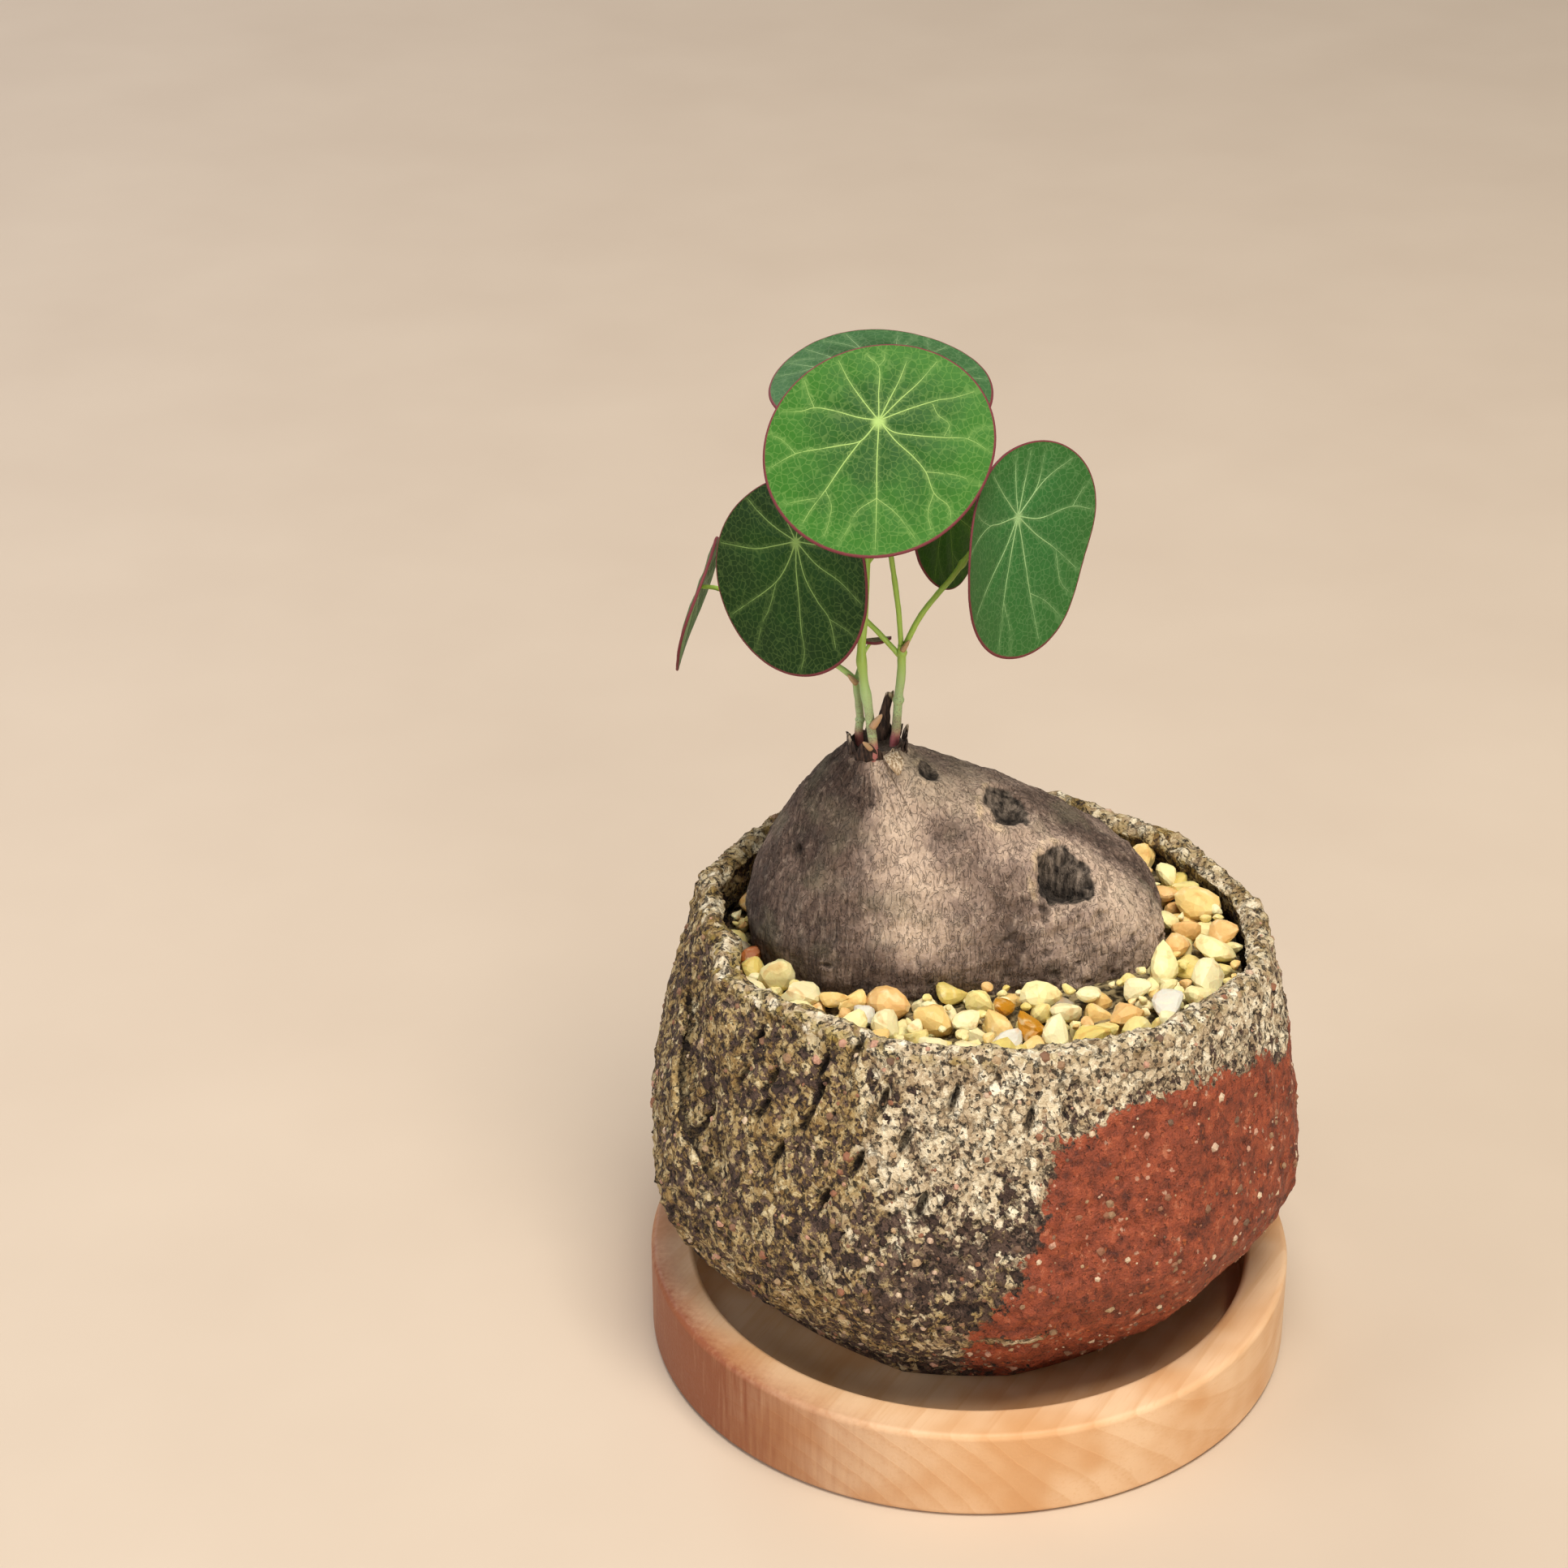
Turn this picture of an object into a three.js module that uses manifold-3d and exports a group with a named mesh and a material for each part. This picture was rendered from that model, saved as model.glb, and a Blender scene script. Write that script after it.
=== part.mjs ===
// A Stephania erecta growing from its woody caudex in a hand-carved stoneware pot on a pine saucer.
// Millimetres, +Z up. The origin is the centre of the saucer's underside, and -Y is the front.

import * as THREE from 'three';
import { mergeVertices } from 'three/addons/utils/BufferGeometryUtils.js';
import Module from 'manifold-3d';

const wasm = await Module();
wasm.setup();

// Saucer, turned from pine.
const SAUCER_RADIUS = 60;
const SAUCER_HEIGHT = 18;
const RECESS_RADIUS = 52;
const RECESS_FLOOR = 9;
const SAUCER_EDGE = 1.2;
const SAUCER_SEGMENTS = 64;

// Pot, carved freehand from groggy stoneware.
const POT_CENTRE = [1, 3.5];
const POT_FOOT = RECESS_FLOOR;
const POT_BELLY = 42;
const POT_RIM = 88;
const RIM_ROUND = 3.7;
const LOWER_POWER = 1.7;
const UPPER_POWER = 1.6;
const FACET_CRISPNESS = 0.55;
const WALL_THICKENING = 4;
const FLOOR_TOP = 17;
const DRAIN_RADIUS = 6;
const POT_COLUMNS = 48;

// Each arris between two carved facets: its azimuth in degrees, then the radius at rim, belly and foot.
const ARRISES = [
  { azimuth: -113, rim: 48.6, belly: 59, foot: 37 },
  { azimuth: -82, rim: 49, belly: 57.5, foot: 36 },
  { azimuth: -50, rim: 52, belly: 60, foot: 36 },
  { azimuth: -19, rim: 54.6, belly: 62, foot: 38 },
  { azimuth: 4, rim: 52.4, belly: 61, foot: 39 },
  { azimuth: 36, rim: 49, belly: 58.5, foot: 39 },
  { azimuth: 80, rim: 51, belly: 59, foot: 38 },
  { azimuth: 133, rim: 53.6, belly: 62, foot: 40 },
  { azimuth: 162, rim: 53.8, belly: 63.6, foot: 40 },
  { azimuth: 203, rim: 51.6, belly: 64, foot: 40 },
];

// The deep cut on the left front, which leaves the belly standing proud as a slanting ledge under it.
const LEDGE = { azimuth: 201, halfWidth: 19, height: 62, slope: -0.86, depth: 3.2, fade: 24 };

// Growing medium and its dressing.
const FIT_GAP = 0.3;
const OFFSET_GAP = 0.5;
const SOIL_TOP = 73.7;
const GRAVEL_BOTTOM = 74;
const GRAVEL_LEVEL = 80.6;
const GRAVEL_TILT = 0.045;
const GRAVEL_HOLLOW = { at: [-44, 10], radius: 14, depth: 3.2 };
const BED_SHARES = [1.04, 0.84, 0.68, 0.5];
const BED_COLUMNS = 40;
const PEBBLES = {
  count: 128,
  spacing: 5,
  seed: 20,
  wallGap: 2.2,
  halfLength: [2.5, 3.5],
  halfWidth: [2, 2.7],
  halfHeight: [1.6, 2.2],
  unevenness: [0.86, 1.14],
  lift: [0.2, 1.1],
  tilt: [-0.4, 0.4],
};

// Caudex, in level sections: height, then how far it reaches left, right, to the front and to the back.
const SECTIONS = [
  { z: 48, left: -14, right: 8, front: 4, back: 17 },
  { z: 54, left: -25, right: 20, front: -2, back: 25 },
  { z: 63, left: -34, right: 29, front: -7, back: 31 },
  { z: 73, left: -39.5, right: 34, front: -10.5, back: 34 },
  { z: 82, left: -41.2, right: 34.8, front: -11.5, back: 34 },
  { z: 90, left: -39.8, right: 31.6, front: -10, back: 32.5 },
  { z: 97, left: -37.6, right: 23.4, front: -7.8, back: 29 },
  { z: 104, left: -34.6, right: 12.6, front: -4.6, back: 25 },
  { z: 111, left: -30.4, right: 0.8, front: -0.6, back: 20 },
  { z: 116, left: -25.6, right: -10, front: 3, back: 15.4 },
  { z: 119, left: -22.4, right: -13.2, front: 5.2, back: 13.2 },
];
const BASE_MIDDLE = [-3, 11];
const LEFT_SQUARENESS = 2.2;
const RIGHT_SQUARENESS = 3.2;
const CROWN = [-17.8, 9, 119];
const CAUDEX_COLUMNS = 36;
const CAUDEX_LEVELS = 20;

// Holes and scars bored into the caudex: the place on its skin, the mouth's half-sizes and the depth.
const PITS = [
  { level: 97.8, azimuth: -44, across: 4.9, along: 5.2, depth: 6.2 },
  { level: 107.7, azimuth: -22, across: 3.7, along: 5.2, depth: 2.6 },
  { level: 115, azimuth: -29, across: 1.5, along: 1.6, depth: 0.9 },
];

// Young shoots: hand-placed points from the crown up, with the stem's radius at both ends.
const STEM_SIDES = 7;
const SOCKET_SIDES = 10;
const SOCKET_REACH = 7;
const SOCKET_EASE = 0.48;
const SHOOTS = [
  {
    name: 'stem_front',
    branches: [
      {
        radii: [0.85, 0.55], steps: 14,
        points: [[-18.2, 5.6, 116.4], [-18.3, 5, 119.3], [-19.2, 5, 126.6], [-20.1, 5.2, 132.8],
          [-20.6, 5.8, 138.2], [-20.1, 7.2, 145.1], [-19.5, 12, 155], [-18.6, 18, 166],
          [-17.4, 25, 176], [-17.1, 27.2, 180.2]],
      },
      {
        radii: [0.5, 0.4], steps: 6,
        points: [[-19.5, 11, 153.2], [-15.5, 16, 156.6], [-10, 18.4, 159.8], [-6.2, 16.5, 161.3]],
      },
    ],
  },
  {
    name: 'stem_left',
    branches: [
      {
        radii: [0.8, 0.6], steps: 6,
        points: [[-20.6, 9.1, 116.6], [-20.9, 9, 121.2], [-20.7, 9, 123.7], [-21.1, 9, 127.9],
          [-21.6, 9, 131.8]],
      },
      {
        radii: [0.55, 0.38], steps: 9,
        points: [[-21.4, 9, 131.2], [-23.3, 9.3, 132.9], [-30, 13, 136], [-39, 18.5, 140.2],
          [-45.6, 22.8, 142.6], [-48.1, 23.8, 142.4]],
      },
      {
        radii: [0.4, 0.3], steps: 5,
        points: [[-21.5, 9, 131.3], [-20.9, 10.6, 132.6], [-19.8, 12.6, 135], [-19.1, 13, 136.1]],
      },
    ],
  },
  {
    name: 'stem_right',
    branches: [
      {
        radii: [0.85, 0.75], steps: 6,
        points: [[-14.9, 9.1, 116.4], [-14.3, 9, 121.2], [-13.9, 9, 127.8], [-13.5, 9, 132.2],
          [-13.4, 9, 138.2]],
      },
      {
        radii: [0.5, 0.42], steps: 10,
        points: [[-13.5, 9, 137.4], [-14.1, 9, 145.1], [-14.8, 9, 150.6], [-15.6, 8.6, 156.5],
          [-16.6, 6.8, 166], [-17.4, 3.8, 175.5], [-18, 0.75, 183.9]],
      },
      {
        radii: [0.55, 0.42], steps: 9,
        points: [[-13.3, 9, 137.2], [-10.2, 9.4, 143.6], [-7.3, 9.8, 147.6], [-5.1, 10, 150.3],
          [-2.1, 10, 154.8], [2.2, 8.8, 160.6], [5.3, 5.7, 164.4]],
      },
      {
        radii: [0.5, 0.42], steps: 8,
        points: [[-13.5, 9, 135.7], [-16, 9.6, 138.5], [-18, 10.2, 140.6], [-19.7, 10.8, 142.2],
          [-24, 10.6, 148.4], [-28.6, 7.6, 156], [-31.2, 3.7, 160.9]],
      },
    ],
  },
];

// The dead stub of an old stem, and the lifted flaps of bark that ring the crown.
const STUB = { points: [[-17, 11.9, 116.8], [-16.5, 11.7, 122], [-15.5, 11.4, 127.6]], radii: [1.45, 0.8] };
const FLAPS = {
  count: 9,
  seed: 7,
  ring: [5.4, 4.6],
  size: [1.2, 1.95],
  height: 4.5,
  thinness: 0.5,
  lean: 0.35,
};

// Peltate leaves. "at" is where the petiole meets the blade, whose face looks along azimuth and
// elevation. "centre" is the outline's middle as seen from there, across and along the blade.
// Each of its lobes is a number of bulges, their share of the radius and where the first one lies.
// "curl" bends the blade's left half, right half and lower half towards its face.
const BLADE_THICKNESS = 0.6;
const LEAF_COLUMNS = 24;
const LEAF_RINGS = [0.5, 1];
const LEAVES = [
  {
    name: 'leaf_front', at: [-18, 0, 184.6], azimuth: -92, elevation: 42,
    half: [19.4, 18.5], centre: [0.1, -4.8], lobes: [[2, 0.046, 46], [3, 0.012, -87]],
    curl: [-0.004, -0.004, -0.002], wave: 0.35, colour: 0x3f8a35,
  },
  {
    name: 'leaf_back', at: [-17, 27.5, 181.1], azimuth: -92, elevation: 80,
    half: [19.8, 17.8], centre: [0.6, -2.8], lobes: [[2, 0.04, -57], [3, 0.03, 46]],
    curl: [-0.006, -0.004, 0], wave: 0.4, colour: 0x5f8e66,
  },
  {
    name: 'leaf_right', at: [5.9, 5, 164.6], azimuth: -48, elevation: 12, roll: -10,
    half: [18.4, 17.4], centre: [0, -5.7], lobes: [[2, 0.081, 67], [3, 0.067, 47]],
    curl: [0.021, 0.005, -0.001], wave: 0.3, colour: 0x4f8a56,
  },
  {
    name: 'leaf_left', at: [-31.8, 3, 161.2], azimuth: -131, elevation: 12,
    half: [16.9, 17.6], centre: [-0.5, -6.6], lobes: [[2, 0.02, 40], [3, 0.03, 73]],
    curl: [-0.003, -0.003, -0.002], wave: 0.4, colour: 0x1f4a22,
  },
  {
    name: 'leaf_far_left', at: [-49, 24, 142.6], azimuth: 170, elevation: 18,
    half: [12.5, 12.5], centre: [0, -3.5], lobes: [[3, 0.03, -90]],
    curl: [-0.004, -0.004, -0.004], wave: 0.3, colour: 0x5c7a55,
  },
  {
    name: 'leaf_inner', at: [-5.6, 16, 161.4], azimuth: -38, elevation: 8,
    half: [10.5, 12], centre: [0, -2.6], lobes: [[3, 0.03, -90]],
    curl: [0.004, 0.004, 0], wave: 0.3, colour: 0x2c5a26,
  },
  {
    name: 'leaf_young', at: [-18.7, 13, 136.9], azimuth: 90, elevation: 76,
    half: [2.7, 1.7], centre: [-0.9, 0], lobes: [], curl: [0.05, 0.05, 0], wave: 0.05, colour: 0x6a5a34,
  },
];

const radians = THREE.MathUtils.degToRad;
const clamp01 = (value) => Math.min(1, Math.max(0, value));
const smooth = (value) => clamp01(value) ** 2 * (3 - 2 * clamp01(value));
const vector = (point) => new THREE.Vector3(...point);

// A repeatable stream of numbers from 0 to 1.
function seededDraw(seed) {
  let state = seed;
  return () => {
    state = (state + 0x6d2b79f5) | 0;
    let mixed = Math.imul(state ^ (state >>> 15), 1 | state);
    mixed = (mixed + Math.imul(mixed ^ (mixed >>> 7), 61 | mixed)) ^ mixed;
    return ((mixed ^ (mixed >>> 14)) >>> 0) / 4294967296;
  };
}

const between = ([low, high], share) => low + (high - low) * share;

// Keeps positions only, joins coincident vertices and drops the triangles that collapse at a pole.
function weld(geometry) {
  const bare = geometry.clone();
  for (const name of Object.keys(bare.attributes)) {
    if (name !== 'position') bare.deleteAttribute(name);
  }
  const merged = mergeVertices(bare, 1e-4);
  const corners = merged.index.array;
  const kept = [];
  for (let i = 0; i < corners.length; i += 3) {
    const [a, b, c] = [corners[i], corners[i + 1], corners[i + 2]];
    if (a !== b && b !== c && c !== a) kept.push(a, b, c);
  }
  merged.setIndex(kept);
  return merged;
}

function toSolid(geometry) {
  const welded = weld(geometry);
  return new wasm.Manifold(new wasm.Mesh({
    numProp: 3,
    vertProperties: new Float32Array(welded.attributes.position.array),
    triVerts: new Uint32Array(welded.index.array),
  }));
}

function toGeometry(solid) {
  const mesh = solid.getMesh();
  const geometry = new THREE.BufferGeometry();
  geometry.setAttribute('position', new THREE.BufferAttribute(mesh.vertProperties, 3));
  geometry.setIndex(new THREE.BufferAttribute(mesh.triVerts, 1));
  return geometry;
}

// The largest connected body of a cut solid, without the scraps that a cut leaves loose.
function mainBody(solid) {
  const bodies = solid.decompose();
  return bodies.reduce((best, body) => (body.volume() > best.volume() ? body : best));
}

// Skins a stack of rings of equal length. A tube that closes on itself joins its last ring to its
// first, and any other gets a fan of triangles at each end.
function skin(rings, closesOnItself = false) {
  const columns = rings[0].length;
  const positions = rings.flat().flatMap((point) => [point.x, point.y, point.z]);
  const index = [];
  const bands = closesOnItself ? rings.length : rings.length - 1;
  for (let band = 0; band < bands; band += 1) {
    const low = band * columns;
    const high = ((band + 1) % rings.length) * columns;
    for (let j = 0; j < columns; j += 1) {
      const next = (j + 1) % columns;
      index.push(low + j, low + next, high + next, low + j, high + next, high + j);
    }
  }
  if (!closesOnItself) {
    for (const [ring, flip] of [[0, true], [rings.length - 1, false]]) {
      const middle = new THREE.Vector3();
      rings[ring].forEach((point) => middle.addScaledVector(point, 1 / columns));
      const hub = positions.length / 3;
      positions.push(middle.x, middle.y, middle.z);
      for (let j = 0; j < columns; j += 1) {
        const here = ring * columns + j;
        const next = ring * columns + ((j + 1) % columns);
        index.push(hub, ...(flip ? [next, here] : [here, next]));
      }
    }
  }
  const geometry = new THREE.BufferGeometry();
  geometry.setAttribute('position', new THREE.Float32BufferAttribute(positions, 3));
  geometry.setIndex(index);
  return geometry;
}

// A closed tapering tube along a smooth curve, with flat ends.
function taperedTube(points, [startRadius, endRadius], sides, steps) {
  const curve = new THREE.CatmullRomCurve3(points.map(vector));
  const frames = curve.computeFrenetFrames(steps, false);
  const rings = [];
  for (let i = 0; i <= steps; i += 1) {
    const centre = curve.getPointAt(i / steps);
    const radius = THREE.MathUtils.lerp(startRadius, endRadius, i / steps);
    rings.push(Array.from({ length: sides }, (_, j) => {
      const turn = (2 * Math.PI * j) / sides;
      return centre.clone()
        .addScaledVector(frames.normals[i], radius * Math.cos(turn))
        .addScaledVector(frames.binormals[i], radius * Math.sin(turn));
    }));
  }
  return skin(rings);
}

function material(colour, roughness) {
  return new THREE.MeshStandardMaterial({ color: colour, roughness, metalness: 0 });
}

function piece(name, geometry, finish) {
  const mesh = new THREE.Mesh(weld(geometry), finish);
  mesh.geometry.computeVertexNormals();
  mesh.name = name;
  return mesh;
}

function makeSaucer() {
  const edge = SAUCER_EDGE;
  const cut = edge * (1 - Math.SQRT1_2);
  const profile = [
    [0, 0],
    [SAUCER_RADIUS - edge, 0],
    [SAUCER_RADIUS - cut, cut],
    [SAUCER_RADIUS, edge],
    [SAUCER_RADIUS, SAUCER_HEIGHT - edge],
    [SAUCER_RADIUS - cut, SAUCER_HEIGHT - cut],
    [SAUCER_RADIUS - edge, SAUCER_HEIGHT],
    [RECESS_RADIUS + edge, SAUCER_HEIGHT],
    [RECESS_RADIUS, SAUCER_HEIGHT - edge],
    [RECESS_RADIUS, RECESS_FLOOR],
    [0, RECESS_FLOOR],
  ].map(([radius, height]) => new THREE.Vector2(radius, height));
  const geometry = new THREE.LatheGeometry(profile, SAUCER_SEGMENTS);
  geometry.rotateX(Math.PI / 2);
  return piece('saucer', geometry, material(0xe0b983, 0.6));
}

// The outline through the arrises at one height: a blend of straight facets and a round.
function outlineRadius(azimuth, key) {
  const last = ARRISES.length - 1;
  const turned = THREE.MathUtils.euclideanModulo(azimuth - ARRISES[0].azimuth, 360) + ARRISES[0].azimuth;
  let i = 0;
  while (i < last && turned >= ARRISES[i + 1].azimuth) i += 1;
  const from = ARRISES[i];
  const to = i < last ? ARRISES[i + 1] : { ...ARRISES[0], azimuth: ARRISES[0].azimuth + 360 };
  const span = to.azimuth - from.azimuth;
  const share = (turned - from.azimuth) / span;
  const flat = (from[key] * to[key] * Math.sin(radians(span)))
    / (from[key] * Math.sin(radians(span * share)) + to[key] * Math.sin(radians(span * (1 - share))));
  const round = THREE.MathUtils.lerp(from[key], to[key], smooth(share));
  return THREE.MathUtils.lerp(round, flat, FACET_CRISPNESS);
}

function ledgeCut(azimuth, height) {
  const away = THREE.MathUtils.euclideanModulo(azimuth, 360) - LEDGE.azimuth;
  const sideways = smooth((LEDGE.halfWidth - Math.abs(away)) / (LEDGE.halfWidth * 0.5));
  const above = height - (LEDGE.height + LEDGE.slope * away);
  const upwards = smooth(above / 3) * (1 - smooth(above / LEDGE.fade));
  return LEDGE.depth * sideways * upwards;
}

// The bowl's outside before the ledge is cut.
function roughRadius(azimuth, height) {
  const belly = outlineRadius(azimuth, 'belly');
  const isBelow = height < POT_BELLY;
  const reach = isBelow ? (POT_BELLY - height) / (POT_BELLY - POT_FOOT)
    : (height - POT_BELLY) / (POT_RIM - POT_BELLY);
  const end = outlineRadius(azimuth, isBelow ? 'foot' : 'rim');
  const bend = clamp01(reach) ** (isBelow ? LOWER_POWER : UPPER_POWER);
  return THREE.MathUtils.lerp(belly, end, bend);
}

function potOuterRadius(azimuth, height) {
  return roughRadius(azimuth, height) - ledgeCut(azimuth, height);
}

const RIM_SPRING = POT_RIM - RIM_ROUND;
const CAVITY_HEIGHTS = [FLOOR_TOP, 28, POT_BELLY, 60, 74, RIM_SPRING];

function potInnerRadius(azimuth, height) {
  const level = Math.min(height, RIM_SPRING);
  const down = (RIM_SPRING - level) / (RIM_SPRING - FLOOR_TOP);
  return roughRadius(azimuth, level) - 2 * RIM_ROUND - WALL_THICKENING * down ** 2;
}

// A ring round the pot's axis, where radiusAt gives the radius for an azimuth in degrees.
function potRing(height, radiusAt, columns = POT_COLUMNS) {
  return Array.from({ length: columns }, (_, j) => {
    const azimuth = (360 * j) / columns;
    const radius = radiusAt(azimuth);
    return new THREE.Vector3(
      POT_CENTRE[0] + radius * Math.cos(radians(azimuth)),
      POT_CENTRE[1] + radius * Math.sin(radians(azimuth)),
      height,
    );
  });
}

function makePot() {
  const outerHeights = [POT_FOOT, 13, 18, 24, 32, POT_BELLY, 50, 57, 63, 69, 77, RIM_SPRING];
  const rings = [potRing(POT_FOOT, () => DRAIN_RADIUS)];
  for (const height of outerHeights) rings.push(potRing(height, (a) => potOuterRadius(a, height)));
  for (const turn of [36, 72, 108, 144]) {
    const inset = RIM_ROUND * (1 - Math.cos(radians(turn)));
    const height = RIM_SPRING + RIM_ROUND * Math.sin(radians(turn));
    rings.push(potRing(height, (a) => potOuterRadius(a, RIM_SPRING) - inset));
  }
  for (const height of [...CAVITY_HEIGHTS].reverse()) {
    rings.push(potRing(height, (a) => potInnerRadius(a, height)));
  }
  rings.push(potRing(FLOOR_TOP, () => DRAIN_RADIUS));
  return piece('pot', skin(rings, true), material(0x8d7f63, 0.95));
}

// The caudex's section at a height, with each reach on a smooth curve through the hand-set ones.
function sectionAt(height) {
  const last = SECTIONS.length - 1;
  const z = Math.min(Math.max(height, SECTIONS[0].z), SECTIONS[last].z);
  let i = 0;
  while (i < last - 1 && z > SECTIONS[i + 1].z) i += 1;
  const share = (z - SECTIONS[i].z) / (SECTIONS[i + 1].z - SECTIONS[i].z);
  const along = (key) => {
    const [a, b] = [SECTIONS[i][key], SECTIONS[i + 1][key]];
    const before = i > 0 ? SECTIONS[i - 1][key] : a;
    const after = i + 2 <= last ? SECTIONS[i + 2][key] : b;
    const [startSlope, endSlope] = [(b - before) / 2, (after - a) / 2];
    const [s2, s3] = [share ** 2, share ** 3];
    return a * (2 * s3 - 3 * s2 + 1) + startSlope * (s3 - 2 * s2 + share)
      + b * (3 * s2 - 2 * s3) + endSlope * (s3 - s2);
  };
  return { left: along('left'), right: along('right'), front: along('front'), back: along('back') };
}

// A point on the caudex's skin, or as far outside it as grow says.
function caudexPoint(height, azimuth, grow = 0) {
  const { left, right, front, back } = sectionAt(height);
  const rise = clamp01((height - SECTIONS[0].z) / (CROWN[2] - SECTIONS[0].z));
  const middleX = THREE.MathUtils.lerp(BASE_MIDDLE[0], CROWN[0], rise ** 2.4);
  const middleY = THREE.MathUtils.lerp(BASE_MIDDLE[1], CROWN[1], rise ** 2);
  const [c, s] = [Math.cos(radians(azimuth)), Math.sin(radians(azimuth))];
  const squareness = THREE.MathUtils.lerp(LEFT_SQUARENESS, RIGHT_SQUARENESS, smooth(0.5 + 0.8 * c));
  const fullness = (Math.abs(c) ** squareness + Math.abs(s) ** squareness) ** (-1 / squareness);
  const reachX = (c >= 0 ? right - middleX : middleX - left) * fullness + grow;
  const reachY = (s >= 0 ? back - middleY : middleY - front) * fullness + grow;
  const [bottom, top] = [SECTIONS[0].z, CROWN[2]];
  const z = height + grow * ((2 * (height - bottom)) / (top - bottom) - 1);
  return new THREE.Vector3(middleX + reachX * c, middleY + reachY * s, z);
}

function caudexBody(grow = 0) {
  const rings = [];
  for (let i = 0; i <= CAUDEX_LEVELS; i += 1) {
    const height = THREE.MathUtils.lerp(SECTIONS[0].z, CROWN[2], i / CAUDEX_LEVELS);
    rings.push(Array.from({ length: CAUDEX_COLUMNS }, (_, j) => (
      caudexPoint(height, (360 * j) / CAUDEX_COLUMNS, grow))));
  }
  return toSolid(skin(rings));
}

// The outward direction of the caudex's skin at a level and azimuth.
function caudexNormal(level, azimuth) {
  const around = caudexPoint(level, azimuth + 2).sub(caudexPoint(level, azimuth - 2));
  const upwards = caudexPoint(level + 1, azimuth).sub(caudexPoint(level - 1, azimuth));
  return around.cross(upwards).normalize();
}

// An egg-shaped cutter with its middle on the skin and its depth along the skin's normal.
function pitCutter({ level, azimuth, across, along, depth }) {
  const cutter = new THREE.SphereGeometry(1, 12, 8);
  cutter.scale(across, along, depth);
  const facing = new THREE.Quaternion().setFromUnitVectors(
    new THREE.Vector3(0, 0, 1), caudexNormal(level, azimuth),
  );
  cutter.applyQuaternion(facing);
  cutter.translate(...caudexPoint(level, azimuth));
  return toSolid(cutter);
}

// The plain hole that a stem stands in: its own lowest stretch, wider by the fit gap all round.
function stemSocket(points, radius) {
  const [start, next] = points.slice(0, 2).map(vector);
  const direction = next.clone().sub(start).normalize();
  const stations = [-FIT_GAP, SOCKET_REACH / 2, SOCKET_REACH].map((reach) => (
    start.clone().addScaledVector(direction, reach).toArray()));
  const wide = radius + SOCKET_EASE;
  return toSolid(taperedTube(stations, [wide, wide], SOCKET_SIDES, 2));
}

function makeCaudex() {
  let body = caudexBody();
  const draw = seededDraw(FLAPS.seed);
  for (let i = 0; i < FLAPS.count; i += 1) {
    const turn = (2 * Math.PI * (i + 0.5 * draw())) / FLAPS.count;
    const flap = new THREE.ConeGeometry(between(FLAPS.size, draw()), FLAPS.height, 4);
    flap.rotateX(Math.PI / 2);
    flap.scale(FLAPS.thinness, 1, 1);
    flap.rotateY(FLAPS.lean);
    flap.rotateZ(turn);
    flap.translate(CROWN[0] + FLAPS.ring[0] * Math.cos(turn), CROWN[1] + FLAPS.ring[1] * Math.sin(turn),
      CROWN[2] + between([-0.9, 0.1], draw()));
    body = body.add(toSolid(flap));
  }
  for (const pit of PITS) body = body.subtract(pitCutter(pit));
  for (const { branches } of SHOOTS) {
    body = body.subtract(stemSocket(branches[0].points, branches[0].radii[0]));
  }
  body = body.subtract(stemSocket(STUB.points, STUB.radii[0]));
  return piece('caudex', toGeometry(mainBody(body)), material(0x7d6a58, 0.9));
}

// The room inside the pot, clear of its wall and floor, up to above the rim.
function potRoom() {
  const clear = (azimuth, height) => potInnerRadius(azimuth, height) - OFFSET_GAP;
  const rings = CAVITY_HEIGHTS.map((height, i) => (
    potRing(i === 0 ? height + FIT_GAP : height, (a) => clear(a, height))));
  rings.push(potRing(2 * POT_RIM, (a) => clear(a, RIM_SPRING)));
  return toSolid(skin(rings));
}

function makeSoil(room, caudexRoom) {
  const fill = new THREE.BoxGeometry(3 * SAUCER_RADIUS, 3 * SAUCER_RADIUS, SOIL_TOP);
  fill.translate(0, 0, SOIL_TOP / 2);
  const mix = room.intersect(toSolid(fill)).subtract(caudexRoom);
  return piece('soil', toGeometry(mainBody(mix)), material(0x3b2f26, 1));
}

// The dressing's surface: a gentle tilt, higher on the right, with a hollow by the left wall.
function gravelHeight(x, y) {
  const [hollowX, hollowY] = GRAVEL_HOLLOW.at;
  const nearness = 1 - smooth(Math.hypot(x - hollowX, y - hollowY) / GRAVEL_HOLLOW.radius);
  return GRAVEL_LEVEL + GRAVEL_TILT * x - GRAVEL_HOLLOW.depth * nearness;
}

// One angular pebble: an icosahedron with uneven corners, stretched and turned at random.
function pebble(draw, x, y) {
  const stone = weld(new THREE.IcosahedronGeometry(1, 0));
  const corners = stone.attributes.position;
  for (let i = 0; i < corners.count; i += 1) {
    const swell = between(PEBBLES.unevenness, draw());
    corners.setXYZ(i, corners.getX(i) * swell, corners.getY(i) * swell, corners.getZ(i) * swell);
  }
  stone.scale(between(PEBBLES.halfLength, draw()), between(PEBBLES.halfWidth, draw()),
    between(PEBBLES.halfHeight, draw()));
  stone.rotateX(between(PEBBLES.tilt, draw()));
  stone.rotateZ(2 * Math.PI * draw());
  stone.translate(x, y, gravelHeight(x, y) + between(PEBBLES.lift, draw()));
  return stone;
}

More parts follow.
